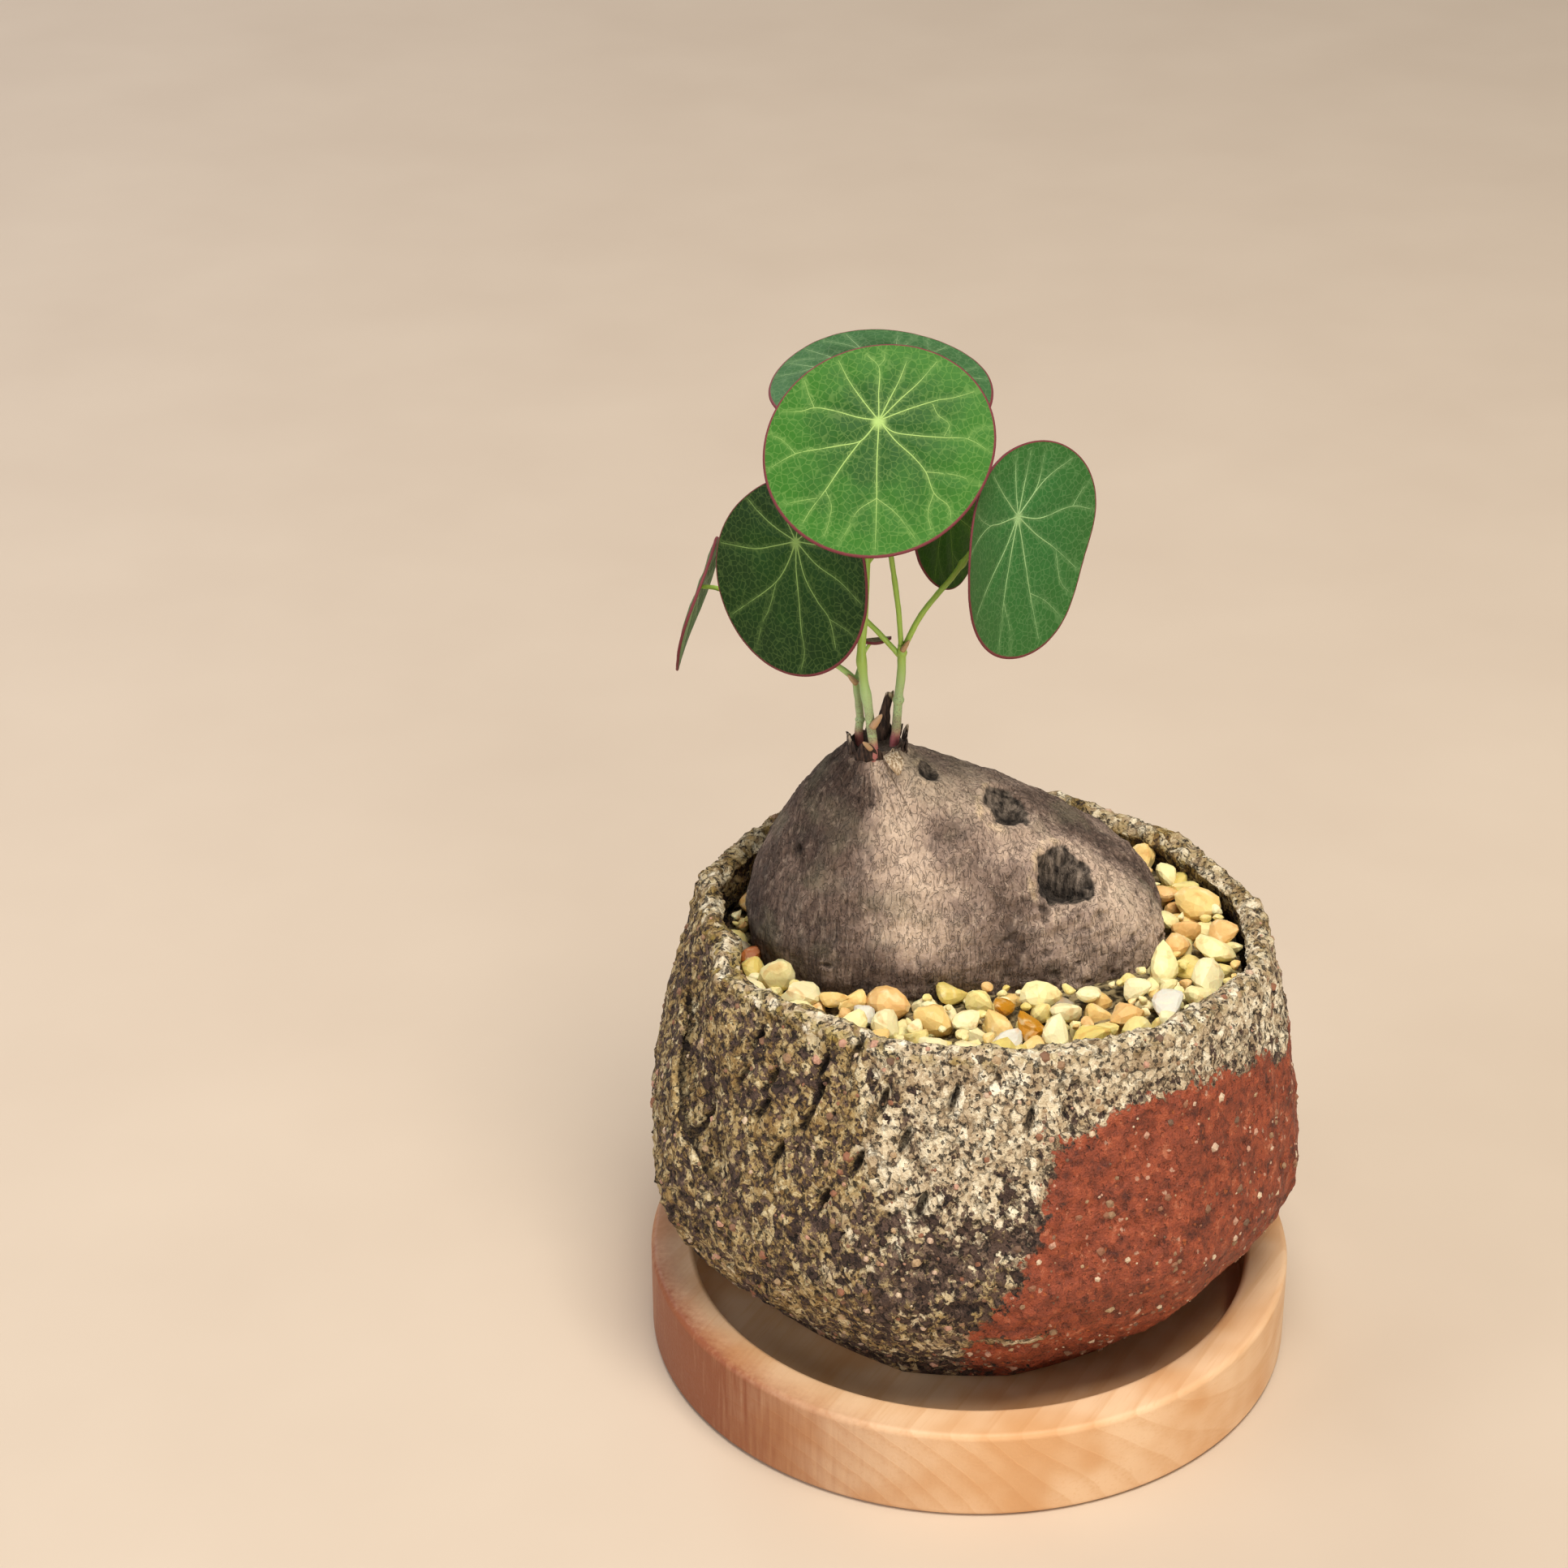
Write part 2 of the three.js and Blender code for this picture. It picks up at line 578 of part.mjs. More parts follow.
// Whether a spot in the dressing lies inside the caudex or within a millimetre of it.
function isUnderCaudex(x, y) {
  const [middleX, middleY] = BASE_MIDDLE;
  const azimuth = THREE.MathUtils.radToDeg(Math.atan2(y - middleY, x - middleX));
  const edge = caudexPoint(GRAVEL_LEVEL, azimuth, 1);
  return Math.hypot(x - middleX, y - middleY) < Math.hypot(edge.x - middleX, edge.y - middleY);
}

function makeGravel(room, caudexRoom) {
  const edgeRadius = (azimuth) => potInnerRadius(azimuth, GRAVEL_LEVEL);
  const bedRing = (share) => potRing(0, (a) => edgeRadius(a) * share, BED_COLUMNS).map((point) => (
    point.setZ(gravelHeight(point.x, point.y))));
  const bed = toSolid(skin([
    potRing(GRAVEL_BOTTOM, (a) => edgeRadius(a) * BED_SHARES[0], BED_COLUMNS),
    ...BED_SHARES.map(bedRing),
  ]));
  const draw = seededDraw(PEBBLES.seed);
  const placed = [];
  const stones = [];
  for (let tries = 0; stones.length < PEBBLES.count && tries < 6000; tries += 1) {
    const azimuth = 360 * draw();
    const radius = (edgeRadius(azimuth) - PEBBLES.wallGap) * Math.sqrt(draw());
    const x = POT_CENTRE[0] + radius * Math.cos(radians(azimuth));
    const y = POT_CENTRE[1] + radius * Math.sin(radians(azimuth));
    const isCrowded = placed.some(([px, py]) => Math.hypot(px - x, py - y) < PEBBLES.spacing);
    if (!isCrowded && !isUnderCaudex(x, y)) {
      placed.push([x, y]);
      stones.push(toSolid(pebble(draw, x, y)));
    }
  }
  const heap = wasm.Manifold.union([bed, ...stones]);
  const dressing = heap.intersect(room).subtract(caudexRoom);
  return piece('gravel', toGeometry(mainBody(dressing)), material(0xe6d9a6, 0.7));
}

function makeShoot({ name, branches }) {
  const limbs = branches.map(({ points, radii, steps }) => (
    toSolid(taperedTube(points, radii, STEM_SIDES, steps))));
  return piece(name, toGeometry(wasm.Manifold.union(limbs)), material(0x86a95c, 0.5));
}

function makeOldStem() {
  return piece('old_stem', taperedTube(STUB.points, STUB.radii, 6, 4), material(0x3a2d28, 0.95));
}

// The height of a blade's mid-surface over its plane, at a point across and along it.
function bladeRise(leaf, x, y, share, turn) {
  const [left, right, lower] = leaf.curl;
  const sideways = (x < 0 ? left : right) * x * x;
  const downwards = y < 0 ? lower * y * y : 0;
  return sideways + downwards + leaf.wave * share ** 2 * Math.sin(3 * turn + leaf.at[0]);
}

function makeLeaf(leaf) {
  const rings = LEAF_RINGS.map((share) => Array.from({ length: LEAF_COLUMNS }, (_, j) => {
    const turn = (2 * Math.PI * j) / LEAF_COLUMNS;
    const swell = leaf.lobes.reduce((sum, [count, amount, first]) => (
      sum + amount * Math.cos(count * (turn - radians(first)))), 1);
    const x = share * (leaf.centre[0] + leaf.half[0] * swell * Math.cos(turn));
    const y = share * (leaf.centre[1] + leaf.half[1] * swell * Math.sin(turn));
    return new THREE.Vector3(x, y, bladeRise(leaf, x, y, share, turn));
  }));
  const lifted = (ring, lift) => ring.map((point) => point.clone().setZ(point.z + lift));
  const half = BLADE_THICKNESS / 2;
  const hub = Array.from({ length: LEAF_COLUMNS }, (_, j) => {
    const turn = (2 * Math.PI * j) / LEAF_COLUMNS;
    return new THREE.Vector3(0.05 * Math.cos(turn), 0.05 * Math.sin(turn), 0);
  });
  const inward = [...rings].reverse();
  const layers = [lifted(hub, -half), ...rings.map((ring) => lifted(ring, -half)),
    ...inward.map((ring) => lifted(ring, half)), lifted(hub, half)];
  const blade = piece(leaf.name, skin(layers), material(leaf.colour, 0.45));
  const [azimuth, elevation] = [radians(leaf.azimuth), radians(leaf.elevation)];
  const face = new THREE.Vector3(
    Math.cos(elevation) * Math.cos(azimuth),
    Math.cos(elevation) * Math.sin(azimuth),
    Math.sin(elevation),
  );
  const across = new THREE.Vector3(0, 0, 1).cross(face).normalize();
  const along = face.clone().cross(across);
  blade.quaternion.setFromRotationMatrix(new THREE.Matrix4().makeBasis(across, along, face));
  blade.rotateZ(radians(leaf.roll ?? 0));
  blade.position.set(...leaf.at);
  return blade;
}

const room = potRoom();
const caudexRoom = caudexBody(OFFSET_GAP);

const holder = new THREE.Group();
holder.add(makeSaucer(), makePot());

const planting = new THREE.Group();
planting.add(makeSoil(room, caudexRoom), makeGravel(room, caudexRoom));

const plant = new THREE.Group();
plant.add(makeCaudex(), makeOldStem(), ...SHOOTS.map(makeShoot), ...LEAVES.map(makeLeaf));

const pottedPlant = new THREE.Group();
pottedPlant.add(holder, planting, plant);

export default pottedPlant;
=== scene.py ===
"""A Stephania erecta in its hand-carved stoneware pot on a pine saucer.

Sizes are in millimetres and angles in degrees until a mesh is made, which is in metres. The frame's +Z is
up, -Y is the front, and an azimuth is turned from +X towards +Y.
"""

import logging
import math
from collections.abc import Mapping, Sequence
from dataclasses import dataclass, field
from enum import Enum
from typing import Any, ClassVar, Union

import bpy
import numpy as np
from mathutils import Matrix, Vector
from mathutils.geometry import delaunay_2d_cdt


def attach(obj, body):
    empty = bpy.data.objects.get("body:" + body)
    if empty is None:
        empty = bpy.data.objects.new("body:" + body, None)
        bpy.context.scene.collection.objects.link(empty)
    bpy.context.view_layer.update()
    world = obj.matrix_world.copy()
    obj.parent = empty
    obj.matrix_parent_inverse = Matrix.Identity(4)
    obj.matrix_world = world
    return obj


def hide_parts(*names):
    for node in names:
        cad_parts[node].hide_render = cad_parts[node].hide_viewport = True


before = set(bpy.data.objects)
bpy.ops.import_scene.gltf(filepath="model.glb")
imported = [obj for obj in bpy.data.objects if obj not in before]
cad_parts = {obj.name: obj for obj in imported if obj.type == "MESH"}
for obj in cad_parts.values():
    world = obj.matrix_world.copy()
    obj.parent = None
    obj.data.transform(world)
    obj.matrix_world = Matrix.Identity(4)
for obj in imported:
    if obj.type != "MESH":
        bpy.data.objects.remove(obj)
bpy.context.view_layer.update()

Array = np.ndarray
Colour = tuple[float, float, float, float]
Point = tuple[float, float, float]

MM = 0.001
BODY = "root"
log = logging.getLogger("stephania")


class Slot(Enum):
    """The names of the record's material slots."""

    SAUCER = "saucer_pine"
    POT = "pot_stoneware"
    SOIL = "soil"
    GRAVEL = "gravel"
    BARK = "caudex_bark"
    OLD_STEM = "old_stem_bark"
    STEM = "stem_green"
    LEAF_FRONT = "leaf_front_green"
    LEAF_PALE = "leaf_pale_green"
    LEAF_DARK = "leaf_dark_green"
    LEAF_YOUNG = "leaf_young_olive"


# Numbers and noise


def smooth(value: Array) -> Array:
    """Eases a value from 0 to 1."""
    held = np.clip(value, 0.0, 1.0)
    return held * held * (3.0 - 2.0 * held)


def bump(value: Array, middle: float, reach: float) -> Array:
    """A soft hill that is 1 at the middle and 0 past its reach."""
    return smooth(1.0 - np.abs(value - middle) / reach)


def turned(azimuth: Array, middle: float) -> Array:
    """How far an azimuth lies from another one, from -180 to 180."""
    return (azimuth - middle + 180.0) % 360.0 - 180.0


def azimuths(columns: int) -> Array:
    """Evenly spaced azimuths, once round."""
    return np.linspace(0.0, 360.0, columns, endpoint=False)


def along(points: Sequence[tuple[float, float]], at: Array, outside: float | None = None) -> Array:
    """Reads a curve given by a few points.

    Args:
        points: The places and values that the curve passes through.
        at: The places to read it at.
        outside: The value past both ends, or None for the end values.

    Returns:
        The curve's values.
    """
    places, values = zip(*points)
    return np.interp(at, places, values, left=outside, right=outside)


def lattice(cells: Array, seed: int) -> Array:
    """Gives every whole-number cell its own random number.

    Args:
        cells: Cell numbers, three to a row.
        seed: Which set of random numbers to use.

    Returns:
        One number from 0 to 1 for each cell.
    """
    x, y, z = (cells[..., axis].astype(np.int64).astype(np.uint32) for axis in range(3))
    mixed = x * np.uint32(0x8DA6B343) ^ y * np.uint32(0xD8163841) ^ z * np.uint32(0xCB1AB31F)
    mixed = mixed ^ np.uint32((seed * 0x9E3779B9) & 0xFFFFFFFF)
    for shift, factor in ((15, 0x2C1B3C6D), (12, 0x297A2D39), (15, 0x45D9F3B)):
        mixed = (mixed ^ (mixed >> np.uint32(shift))) * np.uint32(factor)
    return (mixed ^ (mixed >> np.uint32(16))) / 2.0**32


def ripple(points: Array, size: float, seed: int) -> Array:
    """Smooth random hills and hollows.

    Args:
        points: Places, three numbers to a row.
        size: The width of a hill in the same units.
        seed: Which set of random numbers to use.

    Returns:
        A value from -1 to 1 for each place.
    """
    scaled = points / size
    cell = np.floor(scaled)
    share = scaled - cell
    share = share * share * (3.0 - 2.0 * share)
    total = np.zeros(points.shape[:-1])
    for corner in np.ndindex(2, 2, 2):
        weight = np.prod(np.where(np.array(corner) == 1, share, 1.0 - share), axis=-1)
        total += weight * lattice(cell + corner, seed)
    return 2.0 * total - 1.0


def rough(points: Array, size: float, seed: int, layers: int = 3) -> Array:
    """Adds up ripples, each half the size of the last."""
    total = np.zeros(points.shape[:-1])
    for layer in range(layers):
        total += 0.55**layer * ripple(points, size / 2**layer, seed + layer)
    return total


def cracks(points: Array, size: float, seed: int, width: float, layers: int = 3) -> Array:
    """Thin lines, 1 in their middle, where rough hills and hollows meet."""
    return smooth(1.0 - np.abs(rough(points, size, seed, layers)) / width)


def jostled(points: Array, amount: float, size: float, seed: int) -> Array:
    """Pulls points about, so that what is read at them gets a ragged edge."""
    return points + amount * np.stack([ripple(points, size, seed + axis) for axis in range(3)], axis=-1)


def spots(points: Array, size: float, seed: int) -> tuple[Array, Array]:
    """Scatters one spot to a cell and looks for the nearest.

    Args:
        points: Places, three numbers to a row.
        size: The width of a cell in the same units.
        seed: Which set of random numbers to use.

    Returns:
        The distance to the nearest spot, in cells, and that spot's own number from 0 to 1.
    """
    scaled = points / size
    home = np.floor(scaled)
    nearest = np.full(points.shape[:-1], 9.0)
    label = np.zeros(points.shape[:-1])
    for step in np.ndindex(3, 3, 3):
        cell = home + np.array(step) - 1.0
        spot = cell + np.stack([lattice(cell, seed + axis) for axis in range(3)], axis=-1)
        distance = np.linalg.norm(scaled - spot, axis=-1)
        closer = distance < nearest
        nearest = np.where(closer, distance, nearest)
        label = np.where(closer, lattice(cell, seed + 3), label)
    return nearest, label


# Meshes


def store(mesh: bpy.types.Mesh, name: str, values: Array, kind: str = "FLOAT") -> None:
    """Keeps a value with each point of a mesh.

    Args:
        mesh: The mesh.
        name: The value's name.
        values: One number or one vector for each point.
        kind: Blender's name for the kind of value.
    """
    numbers = np.asarray(values, np.int32 if kind == "INT" else np.float32).reshape(-1)
    slot = "vector" if kind == "FLOAT_VECTOR" else "value"
    mesh.attributes.new(name, kind, "POINT").data.foreach_set(slot, numbers)


def stand(name: str, data: bpy.types.ID) -> bpy.types.Object:
    """Adds an object to the scene."""
    made = bpy.data.objects.new(name, data)
    bpy.context.scene.collection.objects.link(made)
    return made


@dataclass
class Surface:
    """A surface in millimetres, as it is built up before it becomes a mesh."""

    points: Array
    faces: list[tuple[int, ...]]
    values: dict[str, Array] = field(default_factory=dict)

    def mesh(self, name: str, finishes: Sequence[bpy.types.Material]) -> bpy.types.Mesh:
        """Makes a smooth-shaded mesh in metres.

        Args:
            name: The mesh's name.
            finishes: Its materials.

        Returns:
            The mesh, with each of the values as a point attribute.
        """
        mesh = bpy.data.meshes.new(name)
        mesh.from_pydata((self.points * MM).tolist(), [], self.faces)
        for key, value in self.values.items():
            store(mesh, key, value)
        for finish in finishes:
            mesh.materials.append(finish)
        mesh.shade_smooth()
        mesh.update()
        return mesh

    def __add__(self, other: "Surface") -> "Surface":
        """Puts two surfaces with the same values into one."""
        shift = len(self.points)
        faces = self.faces + [tuple(corner + shift for corner in face) for face in other.faces]
        values = {key: np.concatenate([value, other.values[key]]) for key, value in self.values.items()}
        return Surface(np.concatenate([self.points, other.points]), faces, values)


def skin(rings: Array, joined: bool = False) -> Surface:
    """Skins a stack of rings, which run upwards and anticlockwise on an outside.

    Args:
        rings: Points, as rings by columns by three.
        joined: Whether the last ring meets the first. Otherwise a fan of triangles closes each end.

    Returns:
        The closed surface, whose first points are the rings' points in order.
    """
    count, columns = rings.shape[:2]
    grid = np.arange(count * columns).reshape(count, columns)
    low = grid if joined else grid[:-1]
    high = np.roll(grid, -1, axis=0) if joined else grid[1:]
    quads = np.stack([low, np.roll(low, -1, axis=1), np.roll(high, -1, axis=1), high], axis=-1)
    faces = [tuple(quad) for quad in quads.reshape(-1, 4).tolist()]
    points = rings.reshape(-1, 3)
    if not joined:
        hubs = len(points)
        points = np.concatenate([points, rings[[0, -1]].mean(axis=1)])
        bottom, top = grid[0], grid[-1]
        faces += [(hubs, *pair) for pair in zip(bottom.tolist(), np.roll(bottom, 1).tolist())]
        faces += [(hubs + 1, *pair) for pair in zip(np.roll(top, 1).tolist(), top.tolist())]
    return Surface(points, faces)


def ring_normals(rings: Array) -> Array:
    """Outward unit directions of rings that run upwards and anticlockwise."""
    around = np.roll(rings, -1, axis=1) - np.roll(rings, 1, axis=1)
    upwards = np.gradient(rings, axis=0)
    normals = np.cross(around, upwards)
    return normals / np.maximum(np.linalg.norm(normals, axis=-1, keepdims=True), 1e-9)


def spread(values: Array, extra: int = 0) -> Array:
    """Flattens a value on rings, with the end hubs' values taken from the end rings."""
    flat = values.reshape(-1)
    return np.concatenate([flat, [values[0].mean(), values[-1].mean()][:extra]])


def smooth_path(points: Sequence[Point], count: int) -> Array:
    """Runs a centripetal Catmull-Rom curve through points.

    Args:
        points: The points that the curve passes through.
        count: How many evenly spaced points to return.

    Returns:
        Points along the curve.
    """
    knots = np.array(points, float)
    padded = np.concatenate([[2 * knots[0] - knots[1]], knots, [2 * knots[-1] - knots[-2]]])
    dense = []
    for p0, p1, p2, p3 in zip(padded, padded[1:], padded[2:], padded[3:]):
        t0 = 0.0
        t1 = t0 + np.linalg.norm(p1 - p0) ** 0.5
        t2 = t1 + np.linalg.norm(p2 - p1) ** 0.5
        t3 = t2 + np.linalg.norm(p3 - p2) ** 0.5
        for t in np.linspace(t1, t2, 24, endpoint=False):
            a1 = ((t1 - t) * p0 + (t - t0) * p1) / (t1 - t0)
            a2 = ((t2 - t) * p1 + (t - t1) * p2) / (t2 - t1)
            a3 = ((t3 - t) * p2 + (t - t2) * p3) / (t3 - t2)
            b1 = ((t2 - t) * a1 + (t - t0) * a2) / (t2 - t0)
            b2 = ((t3 - t) * a2 + (t - t1) * a3) / (t3 - t1)
            dense.append(((t2 - t) * b1 + (t - t1) * b2) / (t2 - t1))
    dense.append(knots[-1])
    return respaced(np.array(dense), count)


def respaced(path: Array, count: int) -> Array:
    """Reads evenly spaced points off a path."""
    run = np.concatenate([[0.0], np.cumsum(np.linalg.norm(np.diff(path, axis=0), axis=1))])
    places = np.linspace(0.0, run[-1], count)
    return np.stack([np.interp(places, run, path[:, axis]) for axis in range(path.shape[1])], axis=1)


def sweep_rings(path: Array, radii: Array, sides: int) -> Array:
    """Round rings along a path, turned as little as the path allows.

    Args:
        path: Points along the middle.
        radii: A radius for each point, or a radius for each point and side.
        sides: The number of points in a ring.

    Returns:
        The rings, ready to be skinned.
    """
    heading = np.gradient(path, axis=0)
    heading /= np.linalg.norm(heading, axis=1, keepdims=True)
    across = np.cross(heading[0], [0.0, 1.0, 0.2])
    angles = np.linspace(0.0, 2.0 * math.pi, sides, endpoint=False)
    widths = np.broadcast_to(np.asarray(radii, float).reshape(len(path), -1), (len(path), sides))
    rings = []
    for middle, direction, width in zip(path, heading, widths):
        across = across - direction * (across @ direction)
        across /= np.linalg.norm(across)
        upright = np.cross(direction, across)
        outward = np.cos(angles)[:, None] * across + np.sin(angles)[:, None] * upright
        rings.append(middle + width[:, None] * outward)
    return np.array(rings)


# Node trees

Operand = Union["Signal", float]


@dataclass(frozen=True)
class Signal:
    """A node's output that Python's operators work on, by adding Math nodes."""

    graph: "Graph"
    socket: bpy.types.NodeSocket

    def _math(self, operation: str, first: Operand, second: Operand) -> "Signal":
        """Adds the Math node for one operation."""
        return self.graph.signal("ShaderNodeMath", {"operation": operation}, {0: first, 1: second})

    def __add__(self, other: Operand) -> "Signal":
        """Adds."""
        return self._math("ADD", self, other)

    def __radd__(self, other: Operand) -> "Signal":
        """Adds, with this value second."""
        return self._math("ADD", other, self)

    def __sub__(self, other: Operand) -> "Signal":
        """Subtracts."""
        return self._math("SUBTRACT", self, other)

    def __rsub__(self, other: Operand) -> "Signal":
        """Subtracts this value from another."""
        return self._math("SUBTRACT", other, self)

    def __mul__(self, other: Operand) -> "Signal":
        """Multiplies."""
        return self._math("MULTIPLY", self, other)

    def __rmul__(self, other: Operand) -> "Signal":
        """Multiplies, with this value second."""
        return self._math("MULTIPLY", other, self)

    def __pow__(self, power: Operand) -> "Signal":
        """Raises to a power."""
        return self._math("POWER", self, power)

    def step(self, low: float, high: float) -> "Signal":
        """Eases from 0 at the low value to 1 at the high one."""
        return self.graph.signal("ShaderNodeMapRange", {"interpolation_type": "SMOOTHSTEP"},
                                 {0: self, 1: low, 2: high})


class Graph:
    """A node tree under construction."""

    def __init__(self, tree: bpy.types.NodeTree) -> None:
        """Starts on an empty tree."""
        self.tree = tree
        self.tree.nodes.clear()

    def node(self, kind: str, settings: Mapping[str, Any] | None = None,
             values: Mapping[Any, Any] | None = None) -> bpy.types.Node:
        """Adds one node.

        Args:
            kind: The node's type.
            settings: Its properties, set before its sockets. "stops" fills a colour ramp.
            values: What its inputs hold or are linked to, by name or number.

        Returns:
            The new node.
        """
        made = self.tree.nodes.new(kind)
        for key, value in (settings or {}).items():
            if key == "stops":
                while len(made.color_ramp.elements) < len(value):
                    made.color_ramp.elements.new(1.0)
                for element, (place, colour) in zip(made.color_ramp.elements, value):
                    element.position = place
                    element.color = colour
            elif key == "ramp_steps":
                made.color_ramp.interpolation = value
            else:
                setattr(made, key, value)
        for key, value in (values or {}).items():
            if isinstance(value, Signal):
                self.tree.links.new(value.socket, made.inputs[key])
            else:
                made.inputs[key].default_value = value
        return made

    def signal(self, kind: str, settings: Mapping[str, Any] | None = None,
               values: Mapping[Any, Any] | None = None, output: int | str = 0) -> Signal:
        """Adds one node and returns one of its outputs."""
        return Signal(self, self.node(kind, settings, values).outputs[output])


def srgb(code: str) -> Colour:
    """Turns a colour written as six hexadecimal digits into Blender's linear colour."""
    parts = [int(code[i:i + 2], 16) / 255.0 for i in (0, 2, 4)]
    red, green, blue = (c / 12.92 if c <= 0.04045 else ((c + 0.055) / 1.055) ** 2.4 for c in parts)
    return (red, green, blue, 1.0)


class Recipe(Graph):
    """A procedural material under construction, which reads places in millimetres."""

    def __init__(self, name: str) -> None:
        """Starts an empty material."""
        self.material = bpy.data.materials.new(name)
        self.material.use_nodes = True
        super().__init__(self.material.node_tree)
        raw = self.signal("ShaderNodeTexCoord", output="Object")
        self.place = self.mapped(raw, Scale=(1.0 / MM, 1.0 / MM, 1.0 / MM))

    def value(self, name: str) -> Signal:
        """Reads one of the surface's own values."""
        return self.signal("ShaderNodeAttribute", {"attribute_name": name}, output="Fac")

    def mapped(self, place: Signal, **change: Point) -> Signal:
        """Turns or scales a place."""
        return self.signal("ShaderNodeMapping", {"vector_type": "POINT"}, {0: place, **change})

    def stretched(self, scale: Point, turn: Point = (0.0, 0.0, 0.0)) -> Signal:
        """Turns the place, in degrees, and then scales it."""
        spun = self.mapped(self.place, Rotation=tuple(math.radians(angle) for angle in turn))
        return self.mapped(spun, Scale=scale)

    def noise(self, size: float, detail: float = 3.0, place: Signal | None = None,
              warp: float = 0.0) -> Signal:
        """Random hills of one size in millimetres, from 0 to 1."""
        return self.signal("ShaderNodeTexNoise", None, {
            "Vector": place or self.place, "Scale": 1.0 / size, "Detail": detail, "Distortion": warp})

    def cells(self, size: float, feature: str = "F1", place: Signal | None = None,
              output: str = "Distance") -> Signal:
        """Cells of one size in millimetres."""
        return self.signal("ShaderNodeTexVoronoi", {"feature": feature}, {
            "Vector": place or self.place, "Scale": 1.0 / size}, output)

    def torn(self, size: float, amount: float, place: Signal | None = None) -> Signal:
        """Pulls the place about, in millimetres, so that cells on it get ragged edges."""
        start = place or self.place
        pull = self.signal("ShaderNodeTexNoise", None, {
            "Vector": start, "Scale": 1.0 / size, "Detail": 3.0}, "Color")
        return self.signal("ShaderNodeVectorMath", {"operation": "MULTIPLY_ADD"}, {
            0: pull, 1: (amount, amount, amount), 2: start})

    def mix(self, share: Operand, first: Any, second: Any) -> Signal:
        """Mixes two colours."""
        return self.signal("ShaderNodeMix", {"data_type": "RGBA"}, {0: share, 6: first, 7: second}, 2)

    def ramp(self, value: Signal, stops: Sequence[tuple[float, Colour]], steps: str = "LINEAR") -> Signal:
        """Reads a colour off a ramp."""
        return self.signal("ShaderNodeValToRGB", {"ramp_steps": steps, "stops": stops}, {0: value})

    def blend(self, value: Signal, codes: Sequence[str], low: float = 0.3, high: float = 0.7) -> Signal:
        """Runs evenly through colours between two values."""
        gap = (high - low) / (len(codes) - 1)
        return self.ramp(value, [(low + gap * i, srgb(code)) for i, code in enumerate(codes)])

    def pick(self, value: Signal, codes: Sequence[str]) -> Signal:
        """Gives each equal share of the values from 0 to 1 one plain colour."""
        return self.ramp(value, [(i / len(codes), srgb(code)) for i, code in enumerate(codes)], "CONSTANT")

    def relief(self, height: Signal, depth: float, under: Signal | None = None) -> Signal:
        """Makes a bumpy normal out of a height from 0 to 1 and its depth in millimetres."""
        values: dict[Any, Any] = {"Height": height, "Distance": depth * MM, "Strength": 1.0}
        if under is not None:
            values["Normal"] = under
        return self.signal("ShaderNodeBump", None, values)

    def finish(self, colour: Signal, roughness: Operand, normal: Signal | None = None,
               **constants: float) -> bpy.types.Material:
        """Closes the material with its shader.

        Args:
            colour: The base colour.
            roughness: The roughness.
            normal: The bumped normal, if there is one.
            constants: What is the same all over, by the shader's socket names with underscores.

        Returns:
            The finished material.
        """
        values: dict[Any, Any] = {"Base Color": colour, "Roughness": roughness}
        if normal is not None:
            values["Normal"] = normal
        values.update({key.replace("_", " "): value for key, value in constants.items()})
        shader = self.signal("ShaderNodeBsdfPrincipled", None, values)
        self.node("ShaderNodeOutputMaterial", None, {"Surface": shader})
        return self.material


